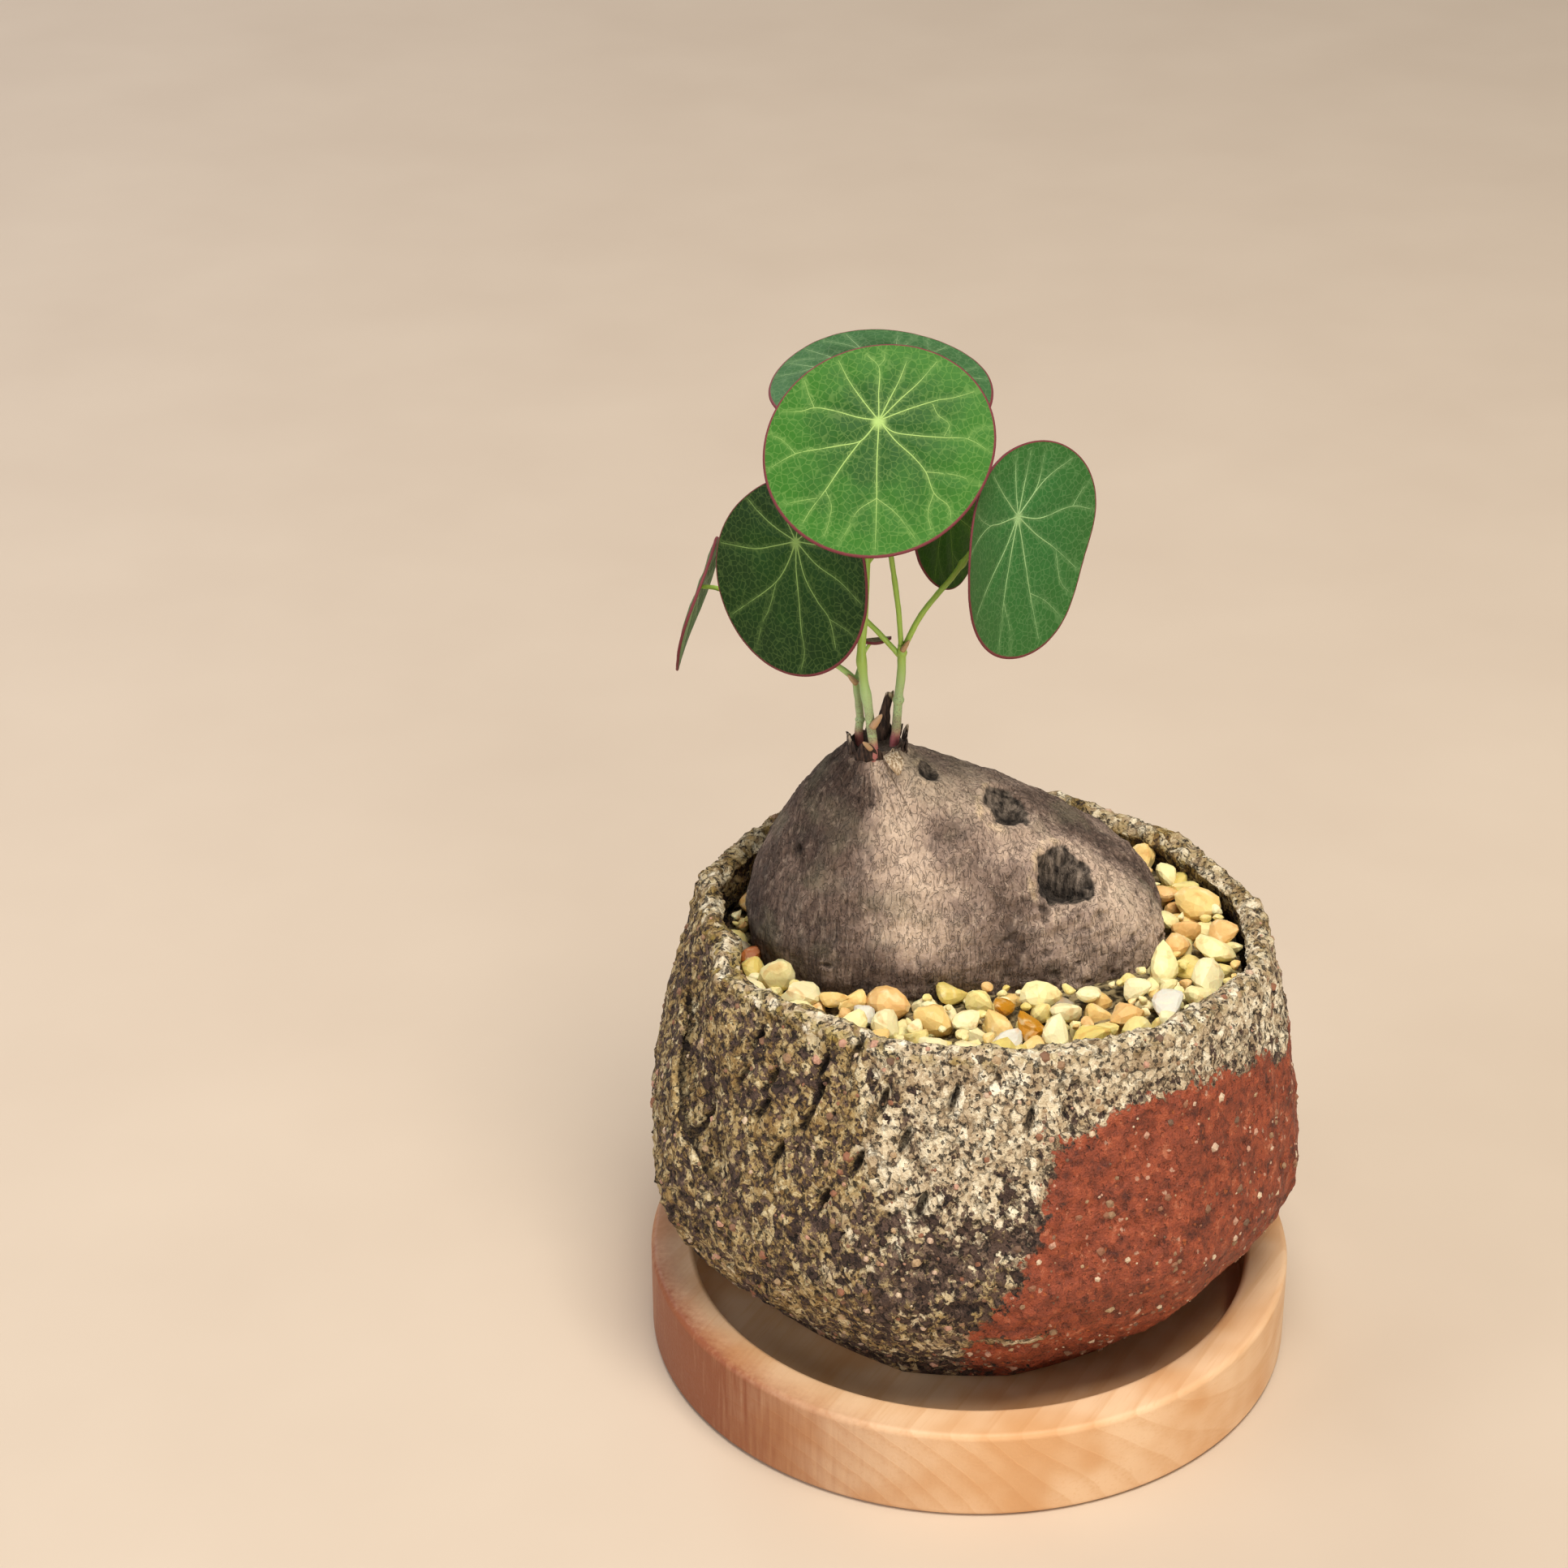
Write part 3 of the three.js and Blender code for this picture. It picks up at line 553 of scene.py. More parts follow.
class Growth(Graph):
    """A geometry tree under construction, with named inputs."""

    def __init__(self, name: str, inputs: Mapping[str, float | int]) -> None:
        """Starts a tree.

        Args:
            name: The tree's name.
            inputs: Its named numbers, with the values that they start with.
        """
        tree = bpy.data.node_groups.new(name, "GeometryNodeTree")
        super().__init__(tree)
        tree.interface.new_socket("Geometry", in_out="INPUT", socket_type="NodeSocketGeometry")
        for label, value in inputs.items():
            kind = "NodeSocketInt" if isinstance(value, int) else "NodeSocketFloat"
            tree.interface.new_socket(label, in_out="INPUT", socket_type=kind).default_value = value
        tree.interface.new_socket("Geometry", in_out="OUTPUT", socket_type="NodeSocketGeometry")
        self.entry = self.node("NodeGroupInput")

    def given(self, label: str) -> Signal:
        """Reads one of the tree's inputs."""
        return Signal(self, self.entry.outputs[label])

    def field(self, name: str, kind: str = "FLOAT") -> Signal:
        """Reads one of the geometry's own attributes."""
        return self.signal("GeometryNodeInputNamedAttribute", {"data_type": kind}, {"Name": name})

    def random(self, low: float, high: float, seed: Operand) -> Signal:
        """Draws a number for each point."""
        return self.signal("FunctionNodeRandomValue", {"data_type": "FLOAT"}, {
            2: low, 3: high, "Seed": seed}, 1)

    def random_vector(self, low: float, high: float, seed: Operand) -> Signal:
        """Draws a vector for each point, with each of its numbers between the same two."""
        return self.signal("FunctionNodeRandomValue", {"data_type": "FLOAT_VECTOR"}, {
            0: (low, low, low), 1: (high, high, high), "Seed": seed})

    def moved(self, geometry: Signal, way: Signal, amount: Operand) -> Signal:
        """Moves points some way along a vector."""
        offset = self.signal("ShaderNodeVectorMath", {"operation": "SCALE"}, {0: way, "Scale": amount})
        return self.signal("GeometryNodeSetPosition", None, {"Geometry": geometry, "Offset": offset})

    def planted(self, points: Signal, shape: Signal, turn: Signal, size: Signal,
                pick: Signal | None = None) -> Signal:
        """Puts a shape at each point.

        Args:
            points: The points.
            shape: The shape, or a bag of shapes to pick from.
            turn: How each one is turned.
            size: How large each one is.
            pick: Which shape of the bag each point gets.

        Returns:
            The instances.
        """
        values = {"Points": points, "Instance": shape, "Scale": size,
                  "Rotation": self.signal("FunctionNodeEulerToRotation", None, {0: turn})}
        if pick is not None:
            values.update({"Pick Instance": True, "Instance Index": pick})
        return self.signal("GeometryNodeInstanceOnPoints", None, values)

    def close(self, geometry: Signal, finish: bpy.types.Material) -> None:
        """Ends the tree with real, finished geometry."""
        real = self.signal("GeometryNodeRealizeInstances", None, {0: geometry})
        dressed = self.signal("GeometryNodeSetMaterial", None, {"Geometry": real, "Material": finish})
        self.node("NodeGroupOutput", None, {0: dressed})

    def grow(self, name: str, seedbed: bpy.types.Mesh, **inputs: float | int) -> bpy.types.Mesh:
        """Runs the tree on a mesh.

        Args:
            name: The new mesh's name.
            seedbed: The mesh that the tree starts from.
            inputs: Values for the tree's named inputs.

        Returns:
            The result as a plain mesh.
        """
        bed = stand(name + "_bed", seedbed)
        modifier = bed.modifiers.new("growth", "NODES")
        modifier.node_group = self.tree
        sockets = {item.name: item.identifier for item in self.tree.interface.items_tree
                   if item.in_out == "INPUT"}
        for label, value in inputs.items():
            modifier[sockets[label]] = value
        graph = bpy.context.evaluated_depsgraph_get()
        mesh = bpy.data.meshes.new_from_object(
            bed.evaluated_get(graph), preserve_all_data_layers=True, depsgraph=graph)
        bpy.data.objects.remove(bed)
        mesh.name = name
        return mesh


def settle(name: str, mesh: bpy.types.Mesh, slot: Slot, *nodes: str) -> bpy.types.Object:
    """Puts a finished piece into the model.

    Args:
        name: The piece's name.
        mesh: Its mesh, in place.
        slot: Not used.
        nodes: The CAD nodes that it stands for.

    Returns:
        The piece.
    """
    piece = stand(name, mesh)
    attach(piece, BODY)
    if nodes:
        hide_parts(*nodes)
    log.info("%s: %d points, %d faces", name, len(mesh.vertices), len(mesh.polygons))
    return piece


# Finishes


@dataclass(frozen=True)
class PineFinish:
    """Turned pine, whose growth lines run across the disc and whose end grain is darker."""

    pale: Colour = srgb("dcb993")
    warm: Colour = srgb("cb9b6c")
    line: Colour = srgb("bd8650")
    stain: Colour = srgb("854a2b")
    grain_azimuth: float = 60.0
    ring_spacing: float = 3.8
    heart_side: float = 21.0
    heart_depth: float = -31.0

    def make(self) -> bpy.types.Material:
        """Builds the material."""
        recipe = Recipe("turned_pine")
        board = recipe.stretched((0.06, 1.0, 1.0), (0.0, 0.0, -self.grain_azimuth))
        sway = recipe.noise(26.0, 2.0, board) * 7.0
        across = recipe.signal("ShaderNodeSeparateXYZ", None, {0: board}, "Y") + sway - self.heart_side
        depth = recipe.signal("ShaderNodeSeparateXYZ", None, {0: board}, "Z") - self.heart_depth
        radius = (across * across + depth * depth) ** 0.5
        phase = recipe.signal("ShaderNodeMath", {"operation": "FRACT"}, {
            0: radius * (1.0 / self.ring_spacing)})
        late = phase.step(0.35, 0.93) * (1.0 - phase.step(0.93, 1.0))
        fibre = recipe.noise(0.55, 3.0, board)
        blotch = recipe.noise(16.0, 2.0)
        colour = recipe.mix(blotch.step(0.35, 0.7), self.pale, self.warm)
        colour = recipe.mix(late * (0.05 + 0.4 * fibre), colour, self.line)
        colour = recipe.mix(fibre.step(0.52, 0.75) * 0.3, colour, self.warm)
        drips = recipe.noise(0.9, 3.0, recipe.stretched((1.0, 1.0, 0.08)))
        # The stain mark is partly real reddish streaks and partly painted shade on the saucer's left.
        worn = recipe.value("stain") * (0.62 + 0.7 * drips)
        colour = recipe.mix(worn * 0.75, colour, self.stain)
        normal = recipe.relief(fibre + 0.5 * late, 0.05)
        return recipe.finish(colour, 0.42 + 0.2 * fibre, normal, Specular_IOR_Level=0.35)


@dataclass(frozen=True)
class StonewareFinish:
    """Wood-fired, groggy stoneware: a pale crust of ash over dark ground, and bare red clay."""

    olive: tuple[str, ...] = ("5c4426", "84693d", "a99162", "cbbb93")
    sand: tuple[str, ...] = ("806b50", "ae997b", "d2c3a5", "ebe1c9")
    ground: tuple[str, ...] = ("382a24", "5b483e", "8a7460")
    clay: tuple[str, ...] = ("50241a", "723521", "884029", "98492c", "ad684c")
    moss: Colour = srgb("94802e")
    # Dark pores, and the painted shade in the wall's pits, gouges and crease.
    pore_and_shade: Colour = srgb("1c1410")
    pale_grit: Colour = srgb("c9a78f")
    rust_grit: Colour = srgb("b4602c")
    lump_size: float = 1.7

    def make(self) -> bpy.types.Material:
        """Builds the material."""
        recipe = Recipe("carved_stoneware")
        tall = recipe.stretched((1.0, 1.0, 0.78), (0.0, 14.0, 0.0))
        ragged = recipe.torn(0.9, 1.3, tall)
        lump = recipe.cells(self.lump_size, place=ragged, output="Color") * 1.0
        grain = recipe.cells(0.75, place=ragged, output="Color") * 1.0
        cloud = recipe.noise(3.2, 5.0, tall)
        fine = recipe.noise(0.4, 3.0)
        drift = recipe.noise(7.0, 3.0) - 0.5
        speckle = 0.3 * lump + 0.26 * grain + 0.44 * recipe.noise(1.3, 4.0, tall) + 0.3 * drift

        shade = 0.32 * lump + 0.24 * grain + 0.3 * cloud + 0.18 * fine - 0.02
        sandy = (recipe.value("sand") + 1.6 * drift + 0.4 * (lump - 0.5)).step(0.15, 0.85)
        crust = recipe.mix(sandy, recipe.blend(shade, self.olive), recipe.blend(shade, self.sand))
        green = recipe.value("moss") * recipe.noise(2.6, 3.0).step(0.44, 0.6)
        crust = recipe.mix(green * 0.55, crust, self.moss)
        cover = (speckle + recipe.value("crust") - 0.5).step(0.42, 0.53)
        colour = recipe.mix(cover, recipe.blend(0.5 * lump + 0.5 * fine, self.ground), crust)
        bare = (1.7 * recipe.value("bare") - 0.45 + 2.6 * (speckle - 0.5)).step(0.28, 0.6)
        clay = 0.5 * cloud + 0.2 * fine + 0.14 * grain + 0.16 * lump
        colour = recipe.mix(bare, colour, recipe.blend(clay, self.clay, 0.34, 0.68))
        speck = (1.0 - recipe.cells(self.lump_size, place=ragged).step(0.16, 0.26)) * (0.25 + 0.75 * bare)
        colour = recipe.mix(speck * lump.step(0.7, 0.74) * 0.6, colour, self.pale_grit)
        colour = recipe.mix(speck * bare * (1.0 - lump.step(0.28, 0.32)) * 0.5, colour, self.rust_grit)
        pores = 1.0 - recipe.noise(0.95, 3.0, tall).step(0.36, 0.42)
        pores = pores * (1.0 - 0.75 * bare)
        colour = recipe.mix(pores * 0.82, colour, self.pore_and_shade)
        # Painted shade in the pits, the gouges and the crease under the ledge.
        colour = recipe.mix(recipe.value("hollow").step(0.2, 0.9) * 0.8, colour, self.pore_and_shade)
        edges = 1.0 - recipe.cells(self.lump_size, "DISTANCE_TO_EDGE", ragged).step(0.0, 0.14)
        edges = edges * (1.0 - bare) * recipe.noise(2.0, 2.0).step(0.4, 0.6)
        colour = recipe.mix(edges * 0.4, colour, self.pore_and_shade)
        height = 0.35 * lump + 0.2 * grain + 0.35 * cover * (1.0 - bare) - 0.6 * pores - 0.25 * edges
        normal = recipe.relief(height, 1.5, recipe.relief(fine, 0.35))
        return recipe.finish(colour, 0.93 - 0.36 * bare, normal, Specular_IOR_Level=0.36)


@dataclass(frozen=True)
class GritFinish:
    """The coarse grog that stands out of the pot's clay."""

    colours: tuple[str, ...] = (
        "c0a48c", "b58a74", "a98e6c", "8f7054", "7d5b45", "8a5c44", "c8b296", "6b5241")
    dust: Colour = srgb("5c4a38")

    def make(self) -> bpy.types.Material:
        """Builds the material."""
        recipe = Recipe("grog_grit")
        colour = recipe.pick(recipe.value("tint"), self.colours)
        colour = recipe.mix(recipe.noise(0.4).step(0.4, 0.7) * 0.35, colour, self.dust)
        return recipe.finish(colour, 0.75, recipe.relief(recipe.noise(0.25), 0.06), Specular_IOR_Level=0.35)


@dataclass(frozen=True)
class BarkFinish:
    """Old caudex bark: grey-brown with pinkish flecks, dark in its fissures and its scars, with painted
    light on its front ridge, painted shade on its left and a painted highlight on each pit's left lip.
    """

    tones: tuple[str, ...] = ("453730", "6b594e", "8f7b6e", "ad9785", "c9b39e")
    fissure: Colour = srgb("2b211b")
    fleck: Colour = srgb("d6bfa9")
    lichen: Colour = srgb("77735c")
    grime: Colour = srgb("4a423c")
    scar_dark: Colour = srgb("1d1814")
    scar_light: Colour = srgb("85776a")
    lip: Colour = srgb("d9c09c")
    tone_places: tuple[float, ...] = (0.3, 0.4, 0.5, 0.6, 0.72)

    def make(self) -> bpy.types.Material:
        """Builds the material."""
        recipe = Recipe("caudex_bark")
        upright = recipe.stretched((1.0, 1.0, 0.22))
        broad = recipe.noise(9.0, 5.0)
        strand = recipe.noise(1.1, 4.0, upright, 0.6)
        fine = recipe.noise(0.45, 3.0)
        # Painted light: the bark is paler and warmer on the lit front ridge and near the top, and darker on
        # its left as painted shade.
        warmth = recipe.value("warmth")
        tone = 0.3 * broad + 0.22 * strand + 0.14 * fine + 0.34 * warmth
        stops = [(place, srgb(code)) for place, code in zip(self.tone_places, self.tones)]
        colour = recipe.ramp(tone, stops)
        offset = recipe.noise(1.15, 2.0, upright, 0.8) - 0.5
        wrinkle = 1.0 - (offset * offset).step(0.0, 0.0012)
        colour = recipe.mix(wrinkle * 0.3, colour, self.fissure)
        # The grime is real dirt, but it is stronger and the flecks fainter where the bark is in painted
        # shade.
        grime = recipe.noise(3.4, 5.0).step(0.5, 0.68) * (1.0 - 0.6 * warmth)
        colour = recipe.mix(grime * 0.45, colour, self.grime)
        flecks = recipe.noise(1.0, 4.0, upright, 0.4).step(0.56, 0.66)
        colour = recipe.mix(flecks * (0.2 + 0.6 * warmth) * 0.6, colour, self.fleck)
        colour = recipe.mix(recipe.noise(10.0, 2.0).step(0.5, 0.7) * 0.3, colour, self.lichen)
        colour = recipe.mix(recipe.value("groove").step(0.12, 1.0) * 0.8, colour, self.fissure)
        flaky = recipe.noise(1.1, 4.0, upright).step(0.3, 0.75)
        pitted = recipe.mix(flaky, self.scar_dark, self.scar_light)
        pitted = recipe.mix(recipe.value("shade") * 0.8, pitted, self.scar_dark)
        colour = recipe.mix(recipe.value("scar").step(0.2, 0.75), colour, pitted)
        # Painted highlight on the left lip of each pit.
        colour = recipe.mix(recipe.value("lip") * 0.6, colour, self.lip)
        normal = recipe.relief(0.7 * strand - 0.35 * wrinkle, 0.9, recipe.relief(fine, 0.2))
        return recipe.finish(colour, 0.86, normal, Specular_IOR_Level=0.25)


@dataclass(frozen=True)
class HuskFinish:
    """Torn, dead bark, nearly black outside and tan where it has split."""

    dark: tuple[str, str] = ("1f1613", "4a382e")
    torn: tuple[str, str] = ("8d7355", "dccab0")

    def make(self) -> bpy.types.Material:
        """Builds the material."""
        recipe = Recipe("torn_husk")
        fibre = recipe.noise(0.35, 4.0, recipe.stretched((1.0, 1.0, 0.22)))
        share = fibre.step(0.36, 0.66)
        dark = recipe.mix(share, *(srgb(code) for code in self.dark))
        torn = recipe.mix(share, *(srgb(code) for code in self.torn))
        colour = recipe.mix((recipe.value("torn") + (fibre - 0.5) * 0.7).step(0.4, 0.65), dark, torn)
        return recipe.finish(colour, 0.8, recipe.relief(fibre, 0.16), Specular_IOR_Level=0.3)


@dataclass(frozen=True)
class PebbleFinish:
    """Cream quartz gravel with a few amber, lilac and rusty stones."""

    kinds: tuple[str, ...] = (
        "e6da9f", "dfcf86", "e3c27a", "e8deae", "d4bf6a", "dcb272", "cfccbe", "b87c00", "a35c26", "a0937e")
    stain: Colour = srgb("c48d42")
    dust: Colour = srgb("efe4b8")

    def make(self) -> bpy.types.Material:
        """Builds the material."""
        recipe = Recipe("quartz_gravel")
        colour = recipe.pick(recipe.value("tint"), self.kinds)
        cloud = recipe.noise(3.0, 4.0, warp=0.6)
        colour = recipe.mix(cloud.step(0.54, 0.72) * 0.5, colour, self.stain)
        colour = recipe.mix((1.0 - cloud.step(0.3, 0.46)) * 0.45, colour, self.dust)
        normal = recipe.relief(recipe.noise(0.5, 4.0), 0.09)
        return recipe.finish(colour, 0.42 + 0.2 * cloud, normal, Subsurface_Weight=0.12,
                             Subsurface_Scale=0.8 * MM, Specular_IOR_Level=0.45)


@dataclass(frozen=True)
class EarthFinish:
    """Potting mix, or the dust and shade between the stones."""

    name: str
    colours: tuple[str, str]
    size: float = 1.6

    def make(self) -> bpy.types.Material:
        """Builds the material."""
        recipe = Recipe(self.name)
        crumb = recipe.noise(self.size, 5.0, warp=0.4)
        colour = recipe.mix(crumb.step(0.35, 0.65), *(srgb(code) for code in self.colours))
        return recipe.finish(colour, 0.95, recipe.relief(crumb, 0.5), Specular_IOR_Level=0.15)


@dataclass(frozen=True)
class StemFinish:
    """Green shoots with crimson bases, purple specks low down and yellower petioles."""

    green: Colour = srgb("a9c48a")
    lime: Colour = srgb("9dbb52")
    shaded: Colour = srgb("6f8a3c")
    crimson: Colour = srgb("a94a5c")
    mauve: Colour = srgb("7c5a55")
    speck: Colour = srgb("6b4a4c")
    scale: Colour = srgb("b08f6c")

    def make(self) -> bpy.types.Material:
        """Builds the material."""
        recipe = Recipe("green_shoot")
        rise = recipe.value("rise")
        cloud = recipe.noise(2.4, 3.0)
        colour = recipe.mix(rise.step(9.0, 20.0), self.green, self.lime)
        colour = recipe.mix(rise.step(28.0, 50.0) * 0.45, colour, self.shaded)
        low = 1.0 - (rise + (cloud - 0.5) * 6.0).step(4.5, 15.0)
        specks = recipe.noise(0.28, 2.0).step(0.53, 0.62)
        colour = recipe.mix(low * (0.18 + 0.5 * specks), colour, self.speck)
        colour = recipe.mix(low * cloud.step(0.45, 0.65) * 0.45, colour, self.mauve)
        blush = 1.0 - (rise + (cloud - 0.5) * 2.0).step(1.4, 4.4)
        colour = recipe.mix(blush * 0.8, colour, self.crimson)
        colour = recipe.mix(recipe.value("bud"), colour, self.scale)
        return recipe.finish(colour, 0.45, recipe.relief(recipe.noise(0.3), 0.04), Subsurface_Weight=0.15,
                             Subsurface_Scale=0.5 * MM, Specular_IOR_Level=0.4)


@dataclass(frozen=True)
class LeafFinish:
    """A leaf's face, back, veins and margin."""

    name: str
    inner: Colour
    outer: Colour
    vein: Colour
    under: Colour = srgb("8fa98a")
    margin: Colour = srgb("6b3136")
    vein_strength: float = 0.8
    gloss: float = 0.5

    def blade(self) -> bpy.types.Material:
        """Builds the lamina's material."""
        recipe = Recipe(self.name + "_blade")
        share = recipe.value("share")
        cloud = recipe.noise(5.0, 3.0)
        fine = recipe.noise(0.5, 3.0)
        colour = recipe.mix((share + (cloud - 0.5) * 0.9).step(0.2, 0.95), self.inner, self.outer)
        halo = 1.0 - recipe.value("from_vein").step(0.1, 0.9)
        colour = recipe.mix(halo * 0.1, colour, self.vein)
        reticule = 1.0 - recipe.cells(1.15, "DISTANCE_TO_EDGE").step(0.02, 0.1)
        colour = recipe.mix(reticule * 0.11 + (fine - 0.5) * 0.16, colour, self.vein)
        centre = 1.0 - share.step(0.02, 0.09)
        colour = recipe.mix(centre * 0.8, colour, self.vein)
        back = recipe.mix(0.25 * cloud + 0.3 * fine, self.under, self.inner)
        colour = recipe.mix(recipe.value("back"), colour, back)
        edge = (share + (fine - 0.5) * 0.006).step(0.977, 0.984)
        colour = recipe.mix(edge, colour, self.margin)
        normal = recipe.relief(0.6 * fine + reticule * 0.25, 0.07)
        return recipe.finish(colour, self.gloss + 0.12 * fine, normal, Specular_IOR_Level=0.16)

    def ribs(self) -> bpy.types.Material:
        """Builds the veins' material, which fades towards the margin."""
        recipe = Recipe(self.name + "_veins")
        share = recipe.value("share")
        strength = self.vein_strength * (1.0 - 0.35 * share.step(0.4, 1.0)) * recipe.value("weight")
        colour = recipe.mix(strength, recipe.mix(share, self.inner, self.outer), self.vein)
        return recipe.finish(colour, self.gloss + 0.05 * recipe.noise(0.6), None, Specular_IOR_Level=0.25)


# Holder


@dataclass(frozen=True)
class TurnedSaucer:
    """The pine saucer, turned with a square wall and a flat recess."""

    radius: float = 60.0
    height: float = 18.0
    recess: float = 52.0
    floor: float = 9.0
    edge: float = 1.2
    fillet: float = 0.7
    columns: int = 256

    def profile(self) -> Array:
        """The section, from the underside's middle over the rim to the recess's middle."""
        rows = [(radius, 0.0) for radius in np.linspace(1.0, self.radius - self.edge, 8)[:-1]]
        rounds = ((self.radius - self.edge, self.edge, self.edge, -90.0, 0.0),
                  (self.radius - self.edge, self.height - self.edge, self.edge, 0.0, 90.0),
                  (self.recess + self.edge, self.height - self.edge, self.edge, 90.0, 180.0),
                  (self.recess - self.fillet, self.floor + self.fillet, self.fillet, 0.0, -90.0))
        for radius, height, bend, start, end in rounds:
            for angle in np.radians(np.linspace(start, end, 7)):
                rows.append((radius + bend * math.cos(angle), height + bend * math.sin(angle)))
        rows += [(radius, self.floor) for radius in np.linspace(self.recess - self.fillet, 1.0, 24)[1:]]
        return np.array(rows)

    def build(self) -> None:
        """Makes the saucer."""
        profile = self.profile()
        azimuth = azimuths(self.columns)
        turn = np.radians(azimuth)
        radius, height = profile[:, :1], profile[:, 1:]
        rings = np.stack([radius * np.cos(turn), radius * np.sin(turn), height + 0.0 * turn], axis=-1)
        surface = skin(rings)
        on_wall = smooth((radius - self.recess - 4.0) / 4.0)
        on_rim = smooth((height - self.floor - 1.0) / 4.0) * (1.0 - on_wall)
        # Darker reddish stain on the left wall and the left of the rim: partly real streaks, partly painted
        # shade.
        left = bump(turned(azimuth, 205.0), 0.0, 68.0)
        far_left = bump(turned(azimuth, 180.0), 0.0, 80.0)
        surface.values["stain"] = spread(left * on_wall * 1.5 + far_left * on_rim * 0.12, 2)
        settle("turned_saucer", surface.mesh("turned_saucer", [PineFinish().make()]), Slot.SAUCER, "saucer")


@dataclass(frozen=True)
class CarvedPot:
    """The bowl, hand-carved in facets out of groggy clay, with its grit and its ash."""

    centre: tuple[float, float] = (1.0, 3.5)
    foot: float = 9.0
    belly: float = 42.0
    rim: float = 88.0
    rim_round: float = 3.7
    lower_power: float = 1.7
    upper_power: float = 1.6
    crispness: float = 0.55
    thickening: float = 4.0
    floor_top: float = 17.0
    drain: float = 6.0
    inset: float = 0.3
    columns: int = 560
    arrises: tuple[tuple[float, float, float, float], ...] = (
        (-113, 48.6, 59, 37), (-82, 49, 57.5, 36), (-50, 52, 60, 36), (-19, 54.6, 62, 38),
        (4, 52.4, 61, 39), (36, 49, 58.5, 39), (80, 51, 59, 38), (133, 53.6, 62, 40),
        (162, 53.8, 63.6, 40), (203, 51.6, 64, 40))
    ledge: Mapping[str, float] = field(default_factory=lambda: {
        "azimuth": 201.0, "half_width": 19.0, "height": 62.0, "slope": -0.86, "depth": 3.2, "fade": 24.0})
    clay_edge: tuple[tuple[float, float], ...] = (
        (-97, 20), (-94.4, 34), (-91, 39), (-87, 44), (-84, 52), (-82, 62), (-79.5, 72), (-70, 73.2),
        (-62, 76), (-48, 77.2), (-39, 76.4), (-29, 73.3), (-18.6, 70), (0, 66), (20, 60), (38, 50),
        (50, 36), (58, 16))
    grooves: tuple[tuple[tuple[float, float], ...], ...] = (
        ((-89, 32.2), (-81, 34), (-73.5, 35.5)), ((-91, 24.8), (-78, 25.5), (-65.6, 25.6)))
    gouges: tuple[tuple[float, float], ...] = (
        (-144.4, 72), (-126.4, 80.3), (-126.2, 75.4), (-128, 69.7), (-137.7, 73.9), (-138.1, 68.5),
        (-119.4, 85.7), (-83.2, 76), (-107, 71), (-152, 60), (-160, 76), (-133, 62),
        (-116, 66), (-122, 57), (-103, 60), (-143, 80), (-112, 77.5), (-98, 79), (120, 66), (150, 58),
        (172, 71), (60, 74))
    chips: tuple[tuple[float, float], ...] = (
        (-72.1, 58.9), (-81.2, 51), (-73, 50.4), (-63.7, 53.7), (-59.7, 48.1), (-35, 44), (25, 52),
        (95, 47))
    rising_edge: int = 7
    wall_reach: float = 57.0
    dent_reach: float = 56.0
    seen_inside: float = 70.0
    wall_rows: int = 126
    rim_rows: int = 17
    grit_density: float = 56000.0
    grit_sizes: tuple[float, float] = (0.28, 1.15)

    FOOT_SHARES: ClassVar[tuple[float, ...]] = (0.0, 0.4, 0.8, 0.98)

    @property
    def spring(self) -> float:
        """Where the rim's round starts."""
        return self.rim - self.rim_round

    def outline(self, azimuth: Array, key: int) -> Array:
        """The outline through the arrises at the rim (1), the belly (2) or the foot (3)."""
        table = np.array(self.arrises + ((self.arrises[0][0] + 360.0, *self.arrises[0][1:]),))
        start = table[0, 0]
        around = (azimuth - start) % 360.0 + start
        place = np.clip(np.searchsorted(table[:, 0], around, side="right") - 1, 0, len(table) - 2)
        span = table[place + 1, 0] - table[place, 0]
        share = (around - table[place, 0]) / span
        near, far = table[place, key], table[place + 1, key]
        flat = near * far * np.sin(np.radians(span)) / (
            near * np.sin(np.radians(span * share)) + far * np.sin(np.radians(span * (1.0 - share))))
        rounded = near + (far - near) * smooth(share)
        return rounded + (flat - rounded) * self.crispness

    def ledge_cut(self, azimuth: Array, height: Array) -> Array:
        """How much the deep cut on the left front takes off."""
        cut = self.ledge
        away = azimuth % 360.0 - cut["azimuth"]
        sideways = smooth((cut["half_width"] - np.abs(away)) / (cut["half_width"] * 0.5))
        above = height - (cut["height"] + cut["slope"] * away)
        return cut["depth"] * sideways * smooth(above / 2.0) * (1.0 - smooth(above / cut["fade"]))

    def radius(self, azimuth: Array, height: Array) -> Array:
        """The outside's radius before the ledge is cut."""
        low = height < self.belly
        reach = np.where(low, (self.belly - height) / (self.belly - self.foot),
                         (height - self.belly) / (self.rim - self.belly))
        bend = np.clip(reach, 0.0, 1.0) ** np.where(low, self.lower_power, self.upper_power)
        belly = self.outline(azimuth, 2)
        end = np.where(low, self.outline(azimuth, 3), self.outline(azimuth, 1))
        return belly + (end - belly) * bend

    def inner_radius(self, azimuth: Array, height: Array) -> Array:
        """The cavity's radius."""
        level = np.minimum(height, self.spring)
        down = (self.spring - level) / (self.spring - self.floor_top)
        return self.radius(azimuth, level) - 2.0 * self.rim_round - self.thickening * down**2

